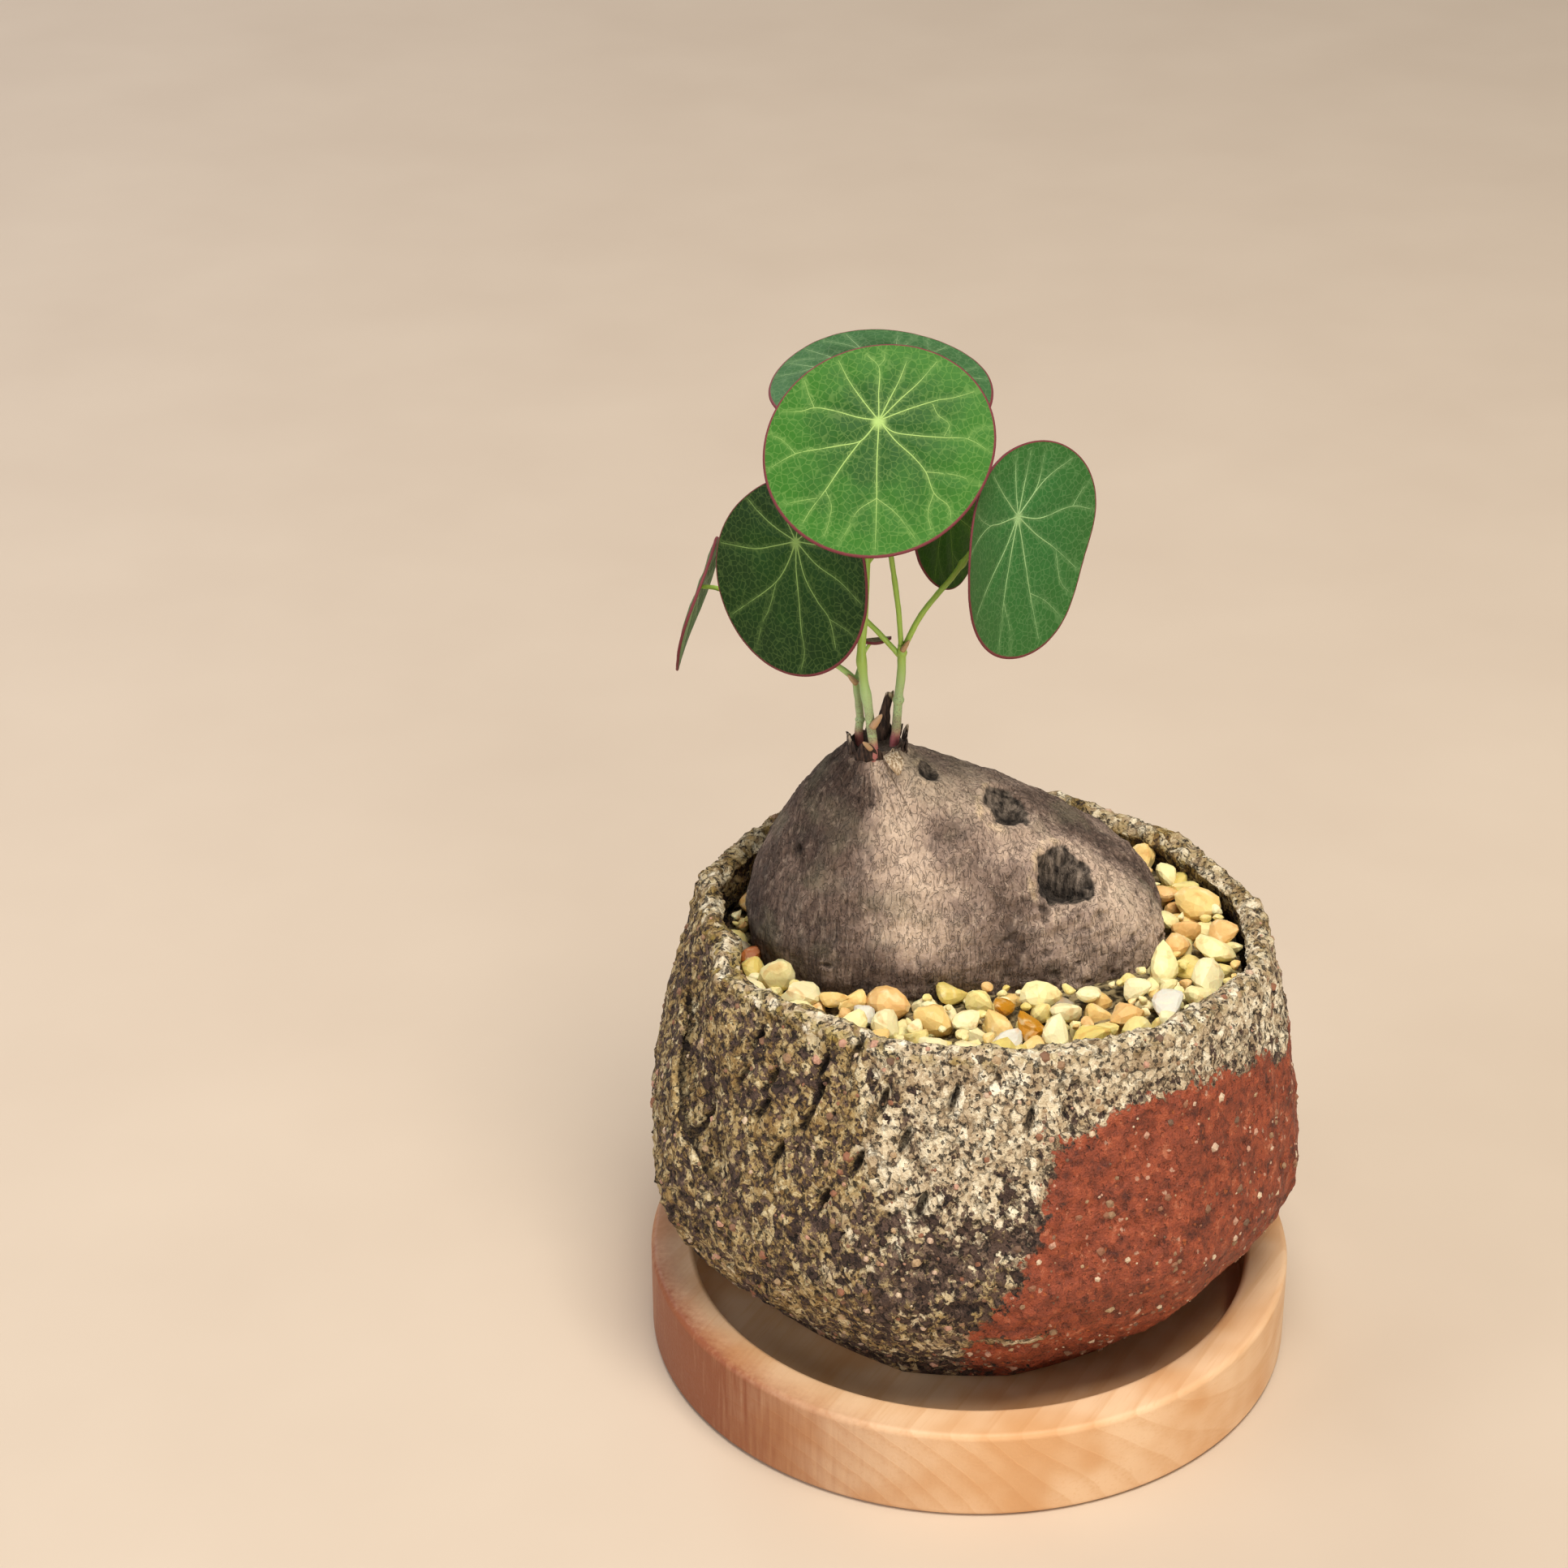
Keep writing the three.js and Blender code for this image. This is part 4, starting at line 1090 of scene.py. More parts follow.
    def rings(self) -> tuple[Array, Array]:
        """The bare rings, from the drain hole over the rim and back, and each ring's share of relief."""
        azimuth = azimuths(self.columns)
        rows: list[tuple[Array, float, float]] = []
        foot = self.radius(azimuth, np.full_like(azimuth, self.foot)) - self.inset
        for share in self.FOOT_SHARES:
            rows.append((self.drain + (foot - self.drain) * share, self.foot, 0.0))
        for height in np.linspace(self.foot, self.spring, self.wall_rows):
            wall = self.radius(azimuth, height + 0.0 * azimuth) - self.ledge_cut(azimuth, height)
            rows.append((wall - self.inset, height, float(smooth((height - self.foot) / 3.0))))
        edge = rows[-1][0]
        for angle in np.radians(np.linspace(0.0, 180.0, self.rim_rows + 2)[1:-1]):
            rows.append((edge - self.rim_round * (1.0 - math.cos(angle)),
                         self.spring + (self.rim_round - self.inset) * math.sin(angle), 1.0))
        for height in (*np.linspace(self.spring, self.seen_inside, 14), 60.0, 42.0, 28.0, self.floor_top):
            rows.append((self.inner_radius(azimuth, height + 0.0 * azimuth), height,
                         float(smooth((height - self.seen_inside) / 4.0))))
        rows.append((self.drain + 0.0 * azimuth, self.floor_top, 0.0))
        turn = np.radians(azimuth)
        points = [np.stack([self.centre[0] + radius * np.cos(turn), self.centre[1] + radius * np.sin(turn),
                            height + 0.0 * turn], axis=-1) for radius, height, _ in rows]
        return np.array(points), np.array([share for _, _, share in rows])

    def clay_field(self, around: Array, points: Array) -> tuple[Array, Array, Array]:
        """Works out where the red clay is bare.

        Args:
            around: Each point's azimuth, from -180 to 180.
            points: The bare rings.

        Returns:
            The clay's share, the height over its upper edge and the distance inside its left edge.
        """
        height = points[..., 2]
        sway = rough(points, 9.0, 31)
        rising = [(edge, place) for place, edge in self.clay_edge[:self.rising_edge]]
        inside = (around - along(rising, height)) * math.radians(self.wall_reach)
        corner = self.clay_edge[self.rising_edge - 1][0]
        upper = np.where(around < corner, 78.0, along(self.clay_edge, around, -30.0)) + 2.0 * sway
        bare = smooth((upper - height) / 10.0 + 0.5) * smooth((inside + 1.5 * sway) / 11.0 + 0.4)
        return bare, height - upper, inside

    def scorch(self, around: Array, height: Array, over: Array, inside: Array) -> Array:
        """The share of burnt, dark ground: left of the clay, low down, and along the clay's edge."""
        side = turned(around, -90.0)
        patch = smooth(1.2 - np.hypot(turned(around, -101.0) / 20.0, (height - 46.0) / 19.0))
        low = smooth((25.0 - height) / 10.0) * smooth((26.0 - side) / 16.0) * smooth((side + 175.0) / 50.0)
        upper = bump(over, 1.5, 6.0) * smooth((around + 112.0) / 8.0) * smooth((around + 80.0) / 6.0)
        flank = bump(inside, -2.5, 9.0) * smooth((72.0 - height) / 6.0) * smooth((height - 18.0) / 6.0)
        return np.maximum(np.maximum(patch, low), 0.6 * np.maximum(upper, flank))

    def ash(self, azimuth: Array, points: Array, outside: Array) -> dict[str, Array]:
        """Works out where each kind of ash lies.

        Args:
            azimuth: Each point's azimuth.
            points: The bare rings.
            outside: 1 on the outside wall and 0 inside it.

        Returns:
            The point values that the finish reads.
        """
        height = points[..., 2]
        around = turned(azimuth, 0.0)
        bare, over, inside = self.clay_field(around, points)
        burnt = self.scorch(around, height, over, inside)
        band = bump(height, 29.3, 3.4) * bump(around, -84.0, 11.0)
        front = smooth((around + 124.0) / 22.0) * (1.0 - smooth((around + 14.0) / 26.0))
        on_rim = smooth((height - self.spring + 1.0) / 3.0)
        sand = np.maximum(front * (0.25 + 0.75 * smooth((height - 40.0) / 30.0)), 0.8 * band)
        sand = np.maximum(sand, 0.35 * smooth(rough(points, 16.0, 35) - 0.2))
        sand = np.maximum(sand * (1.0 - 0.3 * on_rim), on_rim * (0.55 + 0.35 * bump(around, -65.0, 90.0)))
        crust = 0.505 + 0.14 * front * smooth((height - 50.0) / 18.0) + 0.2 * on_rim - 0.13 * burnt
        return {"bare": bare * (1.0 - 0.9 * band) * (1.0 - 0.35 * burnt) * outside,
                "crust": crust + 0.05 * rough(points, 7.0, 37) + 0.35 * band,
                "sand": sand, "moss": on_rim * (0.4 + 0.6 * bump(around, -150.0, 90.0))}

    def dents(self, azimuth: Array, height: Array, places: Sequence[tuple[float, float]],
              size: tuple[float, float], fullness: float, slant: float = 0.0) -> Array:
        """Works out small oval dents in the wall.

        Args:
            azimuth: Each point's azimuth.
            height: Each point's height.
            places: The azimuth and height of each dent.
            size: A dent's half-sizes, across and up.
            fullness: How much of the dent is at its full depth.
            slant: How far it leans over for each millimetre of its height.

        Returns:
            The depth of the dents, from 0 to 1.
        """
        total = np.zeros(height.shape)
        for place, level in places:
            across = turned(azimuth, place) * math.radians(self.dent_reach)
            above = height - level
            total += smooth(fullness - np.hypot((across - slant * above) / size[0], above / size[1]))
        return np.clip(total, 0.0, 1.0)

    def cuts(self, azimuth: Array, height: Array) -> tuple[Array, Array, Array, Array]:
        """The depth of the grooves, the gouges, the chips and the crease under the ledge, from 0 to 1."""
        around = turned(azimuth, 0.0)
        grooves = sum(bump(height, along(line, around), 1.1) * smooth((around - line[0][0] + 2.0) / 2.0)
                      * smooth((line[-1][0] + 2.0 - around) / 2.0) for line in self.grooves)
        gouges = self.dents(azimuth, height, self.gouges, (0.95, 3.1), 1.35, 0.32)
        chips = self.dents(azimuth, height, self.chips, (1.5, 1.2), 1.4)
        ledge = self.ledge
        away = azimuth % 360.0 - ledge["azimuth"]
        crease = bump(height - (ledge["height"] + ledge["slope"] * away), 0.5, 1.6)
        crease = crease * smooth((17.0 - np.abs(turned(azimuth, ledge["azimuth"]))) / 5.0)
        return grooves, gouges, chips, crease

    def build(self) -> None:
        """Makes the pot and its grit."""
        points, share = self.rings()
        azimuth = np.broadcast_to(azimuths(self.columns), points.shape[:2])
        first = len(self.FOOT_SHARES)
        wall = np.zeros((len(points), 1))
        wall[first:first + self.wall_rows + self.rim_rows // 2 + 1] = 1.0
        outside = np.broadcast_to(wall, points.shape[:2])
        marks = self.ash(azimuth, points, outside)
        grooves, gouges, chips, crease = (cut * outside for cut in self.cuts(azimuth, points[..., 2]))
        torn = jostled(points, 0.9, 1.7, 48)
        pit, label = spots(torn, 2.9, 41)
        pits = smooth(1.0 - pit / (0.2 + 0.26 * label)) * (label > 0.4)
        crumb, grade = spots(torn, 1.8, 45)
        crumbs = smooth(1.0 - crumb / 0.45) * (grade > 0.35)
        streaks = ripple(points * np.array([1.0, 1.0, 0.35]), 2.2, 47)
        worn = 1.0 - 0.5 * np.clip(marks["bare"], 0.0, 1.0)
        scabs = rough(torn, 2.5, 52, 2)
        marks["crust"] = marks["crust"] + 0.07 * scabs
        wear = (pits + 0.3 * (1.0 - ripple(points, 1.5, 39)) - 0.42 * crumbs + 0.24 * (1.0 - streaks)
                - 0.5 * smooth(0.5 + scabs))
        depth = (0.3 * (1.0 - rough(points, 15.0, 32)) + 0.34 * (1.0 - rough(points, 5.0, 36)) + worn * wear
                 + 0.95 * grooves + 2.0 * gouges + 0.5 * chips + 2.2 * crease)
        relief = np.clip(depth + 0.2, -0.2, 3.4) * share[:, None]
        surface = skin(points - ring_normals(points) * relief[..., None], joined=True)
        # The hollow mark is painted shade: it darkens the pits, the gouges and the crease under the ledge.
        marks["hollow"] = np.clip(0.75 * worn * pits + gouges + crease, 0.0, 1.0)
        clumps = 0.5 + 0.4 * smooth(rough(points, 8.0, 43) + 0.3) + 0.35 * marks["bare"]
        marks["density"] = outside * share[:, None] * clumps
        for name, value in marks.items():
            surface.values[name] = spread(np.broadcast_to(value, points.shape[:2]))
        mesh = surface.mesh("carved_pot", [StonewareFinish().make()])
        settle("carved_pot", mesh, Slot.POT, "pot")
        smallest, largest = (size * MM for size in self.grit_sizes)
        grit = self.grit_tree(GritFinish().make()).grow(
            "pot_grit", mesh, Density=self.grit_density, Smallest=smallest, Largest=largest, Seed=5)
        settle("pot_grit", grit, Slot.POT)

    def grit_tree(self, finish: bpy.types.Material) -> Growth:
        """The tree that scatters grains of grog over the wall, sunk into it."""
        tree = Growth("grog_grit", {"Density": 1.0, "Smallest": 0.0, "Largest": 1.0, "Seed": 0})
        scatter = tree.node("GeometryNodeDistributePointsOnFaces", {"distribute_method": "RANDOM"}, {
            "Mesh": tree.given("Geometry"), "Density": tree.field("density") * tree.given("Density"),
            "Seed": tree.given("Seed")})
        points, normal = (Signal(tree, scatter.outputs[name]) for name in ("Points", "Normal"))
        grain = tree.signal("GeometryNodeMeshIcoSphere", None, {"Radius": 1.0, "Subdivisions": 1})
        growth = tree.random(0.0, 1.0, 11) ** 2.2
        size = tree.given("Smallest") + (tree.given("Largest") - tree.given("Smallest")) * growth
        sunk = tree.moved(points, normal, size * -0.42)
        placed = tree.planted(sunk, grain, tree.random_vector(0.0, 6.2, 12), size)
        tinted = tree.signal(
            "GeometryNodeStoreNamedAttribute", {"data_type": "FLOAT", "domain": "INSTANCE"},
            {"Geometry": placed, "Name": "tint", "Value": tree.random(0.0, 1.0, 13)})
        tree.close(tinted, finish)
        return tree


# Planting


@dataclass(frozen=True)
class GravelDressing:
    """The quartz gravel round the caudex, and the dark bed under it, which stands in for dust and painted
    shade between the stones.
    """

    pot: CarvedPot
    caudex: "Caudex"
    level: float = 80.6
    tilt: float = 0.045
    bottom: float = 74.0
    hollow: tuple[float, float, float, float] = (-44.0, 10.0, 14.0, 3.2)
    swelling: float = 1.38
    seed: int = 4
    accents: tuple[tuple[float, float, float, int], ...] = (
        (4.2, -20.2, 2.6, 7), (8.1, -26.5, 2.9, 7), (3.9, -30.6, 2.6, 6), (33.0, -21.1, 3.0, 6),
        (-43.5, 8.7, 2.6, 9), (-40.5, 3.0, 2.5, 8), (-39.9, 30.6, 2.4, 8), (-41.4, 26.1, 2.4, 5),
        (-40.6, 20.2, 2.3, 5), (-35.8, -5.4, 3.6, 0), (-31.8, -13.1, 3.7, 3), (25.9, 41.3, 2.6, 7),
        (20.9, 46.7, 2.8, 3), (-26.0, -14.5, 2.7, 2), (-21.7, -15.6, 2.6, 2), (-40.0, -3.4, 2.5, 4),
        (12.5, -29.2, 3.4, 3), (43.4, -3.8, 3.4, 0), (36.3, -1.7, 2.6, 5))
    layers: tuple[tuple[float, tuple[float, float], int, float], ...] = (
        (0.1, (2.1, 4.0), 1700, 0.96), (-2.2, (1.8, 3.0), 1100, 0.9), (0.3, (0.7, 1.4), 900, 0.9))
    odds: tuple[float, ...] = (0.27, 0.24, 0.16, 0.16, 0.08, 0.05, 0.02, 0.005, 0.005, 0.01)
    shapes: int = 8
    unevenness: float = 0.36
    sharpness: float = 0.28
    bed_depth: float = 2.4

    BED_SHARES: ClassVar[tuple[float, ...]] = (1.0, 0.93, 0.86, 0.78, 0.7, 0.6, 0.5, 0.3)

    def surface_height(self, x: Array, y: Array) -> Array:
        """The dressing's level, with a tilt and a hollow by the left wall."""
        across, back, reach, depth = self.hollow
        nearness = 1.0 - smooth(np.hypot(x - across, y - back) / reach)
        return self.level + self.tilt * x - depth * nearness

    def from_wall(self, x: float, y: float) -> tuple[float, float]:
        """How far a place is from the pot's middle, and how far the wall is that way."""
        across, back = x - self.pot.centre[0], y - self.pot.centre[1]
        azimuth = math.degrees(math.atan2(back, across))
        room = float(self.pot.inner_radius(np.array([azimuth]), np.array([self.level]))[0])
        return math.hypot(across, back), room

    def is_free(self, x: float, y: float, reach: float) -> bool:
        """Whether a stone of that reach clears the wall and the caudex."""
        away, room = self.from_wall(x, y)
        return away < room - 0.75 * reach and not self.caudex.covers(x, y, self.level, 0.35 * reach)

    def inside(self, x: float, y: float, size: float) -> tuple[float, float]:
        """Pulls a stone's place in until the stone clears the wall."""
        away, room = self.from_wall(x, y)
        share = min(1.0, (room - 1.05 * size) / away)
        middle_x, middle_y = self.pot.centre
        return middle_x + share * (x - middle_x), middle_y + share * (y - middle_y)

    def stones(self) -> dict[str, Array]:
        """Places every stone: the accents first, then the layers."""
        draw = np.random.default_rng(self.seed)
        placed = [self.inside(x, y, size) + (0.5, size, kind) for x, y, size, kind in self.accents]
        for sink, sizes, tries, closeness in self.layers:
            kept = [stone for stone in placed if abs(stone[2] - sink) < 1.2]
            for _ in range(tries):
                turn, reach = 2.0 * math.pi * draw.random(), 48.0 * math.sqrt(draw.random())
                x = self.pot.centre[0] + reach * math.cos(turn)
                y = self.pot.centre[1] + reach * math.sin(turn)
                size = float(draw.uniform(*sizes))
                if not self.is_free(x, y, size):
                    continue
                if all(math.hypot(x - px, y - py) > closeness * 0.84 * (size + other)
                       for px, py, _, other, _ in kept):
                    kind = int(draw.choice(len(self.odds), p=self.odds))
                    stone = (x, y, sink + float(draw.uniform(-0.35, 0.45)), size, kind)
                    placed.append(stone)
                    kept.append(stone)
        table = np.array(placed)
        count = len(table)
        length = table[:, 3]
        width = length * draw.uniform(0.54, 0.86, count)
        tall = length * draw.uniform(0.46, 0.72, count)
        height = self.surface_height(table[:, 0], table[:, 1]) + table[:, 2]
        lean = draw.uniform(-0.5, 0.5, (count, 2))
        turn = np.column_stack([lean, draw.uniform(0.0, 2.0 * math.pi, count)])
        return {"points": np.column_stack([table[:, :2], height]), "turn": turn,
                "size": self.swelling * np.column_stack([length, width, tall]), "kind": table[:, 4],
                "shape": draw.integers(0, self.shapes, count)}

    def tree(self, finish: bpy.types.Material) -> Growth:
        """The tree that puts one of a few angular stones at each place."""
        tree = Growth("quartz_gravel", {"Unevenness": 0.0, "Sharpness": 0.0, "Seed": 0})
        bag = tree.node("GeometryNodeGeometryToInstance")
        for shape in range(self.shapes):
            ball = tree.signal("GeometryNodeMeshIcoSphere", None, {"Radius": 1.0, "Subdivisions": 1})
            push = tree.random_vector(-1.0, 1.0, tree.given("Seed") + float(shape))
            stone = tree.signal("GeometryNodeSubdivisionSurface", None, {
                "Mesh": tree.moved(ball, push, tree.given("Unevenness")), "Level": 1,
                "Edge Crease": tree.given("Sharpness")})
            tree.tree.links.new(stone.socket, bag.inputs[0])
        placed = tree.planted(
            tree.given("Geometry"), Signal(tree, bag.outputs[0]), tree.field("turn", "FLOAT_VECTOR"),
            tree.field("size", "FLOAT_VECTOR"), tree.field("shape", "INT"))
        tree.close(placed, finish)
        return tree

    def bed(self) -> Surface:
        """The closed body under the stones."""
        azimuth = azimuths(120)
        turn = np.radians(azimuth)
        room = self.pot.inner_radius(azimuth, np.full_like(azimuth, self.level)) - 0.35

        def ring(share: float, under: bool = False) -> Array:
            """A ring of the bed's top, or the flat one under it."""
            x = self.pot.centre[0] + share * room * np.cos(turn)
            y = self.pot.centre[1] + share * room * np.sin(turn)
            z = self.surface_height(x, y) - self.bed_depth
            if under:
                z = np.full_like(x, self.bottom + 0.3)
            else:
                z = z + 0.5 * rough(np.stack([x, y, z], axis=-1), 3.0, 51)
            return np.stack([x, y, z], axis=-1)

        return skin(np.array([ring(0.97, under=True), *(ring(share) for share in self.BED_SHARES)]))

    def build(self) -> None:
        """Makes the bed and the stones."""
        # The dark bed stands in for the dust and the painted shade in the gaps between the stones.
        bed_shade_finish = EarthFinish("gravel_dust_and_shade", ("2f281c", "8f7f5c"), 1.3).make()
        settle("gravel_shade_bed", self.bed().mesh("gravel_shade_bed", [bed_shade_finish]), Slot.GRAVEL, "gravel")
        stones = self.stones()
        seedbed = bpy.data.meshes.new("gravel_places")
        seedbed.from_pydata((stones["points"] * MM).tolist(), [], [])
        store(seedbed, "size", stones["size"] * MM, "FLOAT_VECTOR")
        store(seedbed, "turn", stones["turn"], "FLOAT_VECTOR")
        store(seedbed, "tint", (stones["kind"] + 0.5) / len(self.odds))
        store(seedbed, "shape", stones["shape"], "INT")
        mesh = self.tree(PebbleFinish().make()).grow(
            "quartz_gravel", seedbed, Unevenness=self.unevenness, Sharpness=self.sharpness, Seed=3)
        mesh.shade_flat()
        settle("quartz_gravel", mesh, Slot.GRAVEL, "gravel")


# Caudex


@dataclass(frozen=True)
class Pit:
    """A hole or scar bored into the bark: its place on the skin, its half-sizes and its depth."""

    level: float
    azimuth: float
    across: float
    along: float
    depth: float


@dataclass
class Bark:
    """The bark's bare points, and its relief and marks as they are built up."""

    points: Array
    side: Array
    relief: Array
    groove: Array
    scar: Array
    shade: Array
    lip: Array

    @property
    def level(self) -> Array:
        """Each point's height."""
        return self.points[..., 2]

    @property
    def back(self) -> Array:
        """1 on the side that faces away, easing to 0 towards the flanks."""
        return smooth((np.abs(self.side) - 120.0) / 50.0)

    def cut(self, depth: Array) -> None:
        """Darkens the bark where something is cut into it."""
        self.groove = np.maximum(self.groove, depth)


@dataclass(frozen=True)
class Caudex:
    """The swollen woody tuber, its fissured bark and the ragged collar of its crown."""

    sections: tuple[tuple[float, float, float, float, float], ...] = (
        (48, -14, 8, 4, 17), (54, -25, 20, -2, 25), (63, -34, 29, -7, 31), (73, -39.5, 34, -10.5, 34),
        (82, -41.2, 34.8, -11.5, 34), (90, -39.8, 31.6, -10, 32.5), (97, -37.6, 23.4, -7.8, 29),
        (104, -34.6, 12.6, -4.6, 25), (111, -30.4, 0.8, -0.6, 20), (116, -25.6, -10, 3, 15.4),
        (119, -22.4, -13.2, 5.2, 13.2))
    base_middle: tuple[float, float] = (-3.0, 11.0)
    crown: Point = (-17.8, 9.0, 119.0)
    squareness: tuple[float, float] = (2.2, 3.2)
    columns: int = 512
    pits: tuple[Pit, ...] = (
        Pit(98.4, -44, 5.7, 5.9, 6.8), Pit(108.0, -22, 5.2, 5.0, 3.2), Pit(115, -29, 2.6, 2.4, 1.0))
    ring: tuple[float, float, float, float] = (91.0, -47.0, 2.4, 1.9)
    knob: tuple[float, float, float, float] = (102.0, -145.0, 1.9, 1.7)
    lenticel: tuple[float, float, float, float] = (83.0, -125.0, 1.7, 0.8)
    gravel_line: float = 76.0
    buried_rows: int = 16
    open_rows: int = 152
    flap_count: int = 17

    DISH: ClassVar[tuple[float, ...]] = (0.94, 0.85, 0.7, 0.5, 0.25)

    def section(self, level: Array) -> tuple[Array, ...]:
        """How far the body reaches left, right, to the front and to the back at a level."""
        table = np.array(self.sections)
        last = len(table) - 1
        z = np.clip(level, table[0, 0], table[last, 0])
        i = np.clip(np.searchsorted(table[:, 0], z, side="left") - 1, 0, last - 1)
        t = (z - table[i, 0]) / (table[i + 1, 0] - table[i, 0])
        reaches = []
        for key in range(1, 5):
            a, b = table[i, key], table[i + 1, key]
            before = table[np.maximum(i - 1, 0), key]
            after = table[np.minimum(i + 2, last), key]
            reaches.append(a * (2 * t**3 - 3 * t**2 + 1) + (b - before) / 2 * (t**3 - 2 * t**2 + t)
                           + b * (3 * t**2 - 2 * t**3) + (after - a) / 2 * (t**3 - t**2))
        return tuple(reaches)

    def skin_point(self, level: Array, azimuth: Array) -> Array:
        """A point on the bare skin."""
        left, right, front, back = self.section(level)
        rise = np.clip((level - self.sections[0][0]) / (self.crown[2] - self.sections[0][0]), 0.0, 1.0)
        middle_x = self.base_middle[0] + (self.crown[0] - self.base_middle[0]) * rise**2.4
        middle_y = self.base_middle[1] + (self.crown[1] - self.base_middle[1]) * rise**2
        c, s = np.cos(np.radians(azimuth)), np.sin(np.radians(azimuth))
        power = self.squareness[0] + (self.squareness[1] - self.squareness[0]) * smooth(0.5 + 0.8 * c)
        fullness = (np.abs(c) ** power + np.abs(s) ** power) ** (-1.0 / power)
        reach_x = np.where(c >= 0, right - middle_x, middle_x - left) * fullness
        reach_y = np.where(s >= 0, back - middle_y, middle_y - front) * fullness
        return np.stack([middle_x + reach_x * c, middle_y + reach_y * s, level + 0.0 * c], axis=-1)

    def covers(self, x: float, y: float, level: float, margin: float) -> bool:
        """Whether the body stands over a place at a level."""
        azimuth = math.degrees(math.atan2(y - self.base_middle[1], x - self.base_middle[0]))
        edge = self.skin_point(np.array([level]), np.array([azimuth]))[0]
        reach = math.hypot(edge[0] - self.base_middle[0], edge[1] - self.base_middle[1])
        return math.hypot(x - self.base_middle[0], y - self.base_middle[1]) < reach + margin

    def facing(self, level: float, azimuth: float) -> tuple[Array, Array, Array, Array]:
        """A place on the skin and its outward, level and upward directions."""
        here = self.skin_point(np.array([level, level, level, level - 0.5, level + 0.5]),
                               np.array([azimuth, azimuth - 1.0, azimuth + 1.0, azimuth, azimuth]))
        outward = np.cross(here[2] - here[1], here[4] - here[3])
        outward /= np.linalg.norm(outward)
        across = np.cross([0.0, 0.0, 1.0], outward)
        across /= np.linalg.norm(across)
        return here[0], outward, across, np.cross(outward, across)

    def patch(self, points: Array, level: float, azimuth: float, across: float, up: float) -> Array:
        """How far points lie from a place on the skin, as a share of an oval's half-sizes."""
        middle, outward, sideways, upward = self.facing(level, azimuth)
        offset = points - middle
        flat = np.hypot(offset @ sideways / across, offset @ upward / up)
        return np.where(np.abs(offset @ outward) < 2.0 * max(across, up), flat, 9.0)

    def lean(self, points: Array, pit: Pit) -> Array:
        """How far points lie towards a pit's upper right, as a share of its size."""
        middle, _, sideways, upward = self.facing(pit.level, pit.azimuth)
        offset = points - middle
        return 0.8 * (offset @ sideways) / pit.across + 0.6 * (offset @ upward) / pit.along

    def grid(self) -> tuple[Array, Array, Array]:
        """The bare rings with a shallow dish at the crown, their azimuths, and 1 for the dish's rings."""
        buried = np.linspace(self.sections[0][0], self.gravel_line, self.buried_rows)
        levels = np.concatenate([buried, np.linspace(self.gravel_line, self.crown[2], self.open_rows)[1:]])
        azimuth = azimuths(self.columns)
        points = self.skin_point(levels[:, None], azimuth[None, :])
        rim = points[-1]
        hub = rim.mean(axis=0)
        dish = [hub + (rim - hub) * share - np.array([0.0, 0.0, 1.0 - share**3]) for share in self.DISH]
        points = np.concatenate([points, dish])
        in_dish = (np.arange(len(points)) >= len(levels)).astype(float)[:, None]
        return points, np.broadcast_to(azimuth, points.shape[:2]), in_dish

    def bare_bark(self, points: Array, around: Array) -> Bark:
        """Lumps, fissures, plates and pocks, before anything is bored into them."""
        level = points[..., 2]
        turn = np.radians(around)
        strand = np.stack([np.cos(turn) * 30.0, np.sin(turn) * 30.0, level * 0.3], axis=-1)
        deep = smooth(rough(points, 9.0, 62) * 1.1 + 0.45) * (0.25 + 0.75 * smooth((level - 106.0) / 10.0))
        fissures = cracks(strand, 4.2, 61, 0.16) * deep
        hairs = cracks(strand, 1.7, 63, 0.13, 2)
        wrinkle = cracks(points * np.array([0.55, 0.55, 1.3]), 2.6, 64, 0.14)
        plate, label = spots(jostled(points, 1.2, 3.0, 65), 3.1, 68)
        pock, kind = spots(points, 5.4, 71)
        pocks = smooth(1.0 - pock / 0.13) * (kind > 0.55)
        lumps = 0.7 * rough(points, 13.0, 72) + 0.34 * rough(points, 4.5, 73)
        lumps = lumps + 0.1 * ripple(points, 0.8, 74)
        plates = 0.2 * (label - 0.5) * smooth(1.1 - plate)
        relief = lumps + plates - 0.5 * fissures - 0.16 * hairs - 0.12 * wrinkle - 0.5 * pocks
        groove = np.clip(0.8 * fissures + 0.3 * hairs + 0.22 * wrinkle + 0.85 * pocks, 0.0, 1.0)
        blank = np.zeros_like(level)
        bark = Bark(points, turned(around, -90.0), relief, groove, blank, blank, blank)
        corner = smooth((bark.side + 2.0) / 24.0) * (1.0 - bark.back) * smooth((104.0 - level) / 10.0)
        hollows = 2.2 * rough(points, 2.0, 83)
        bark.relief += corner * (0.3 * rough(points, 2.4, 81) - 0.45 * smooth(hollows - 0.9))
        bark.cut(0.75 * corner * smooth(hollows - 0.8))
        return bark

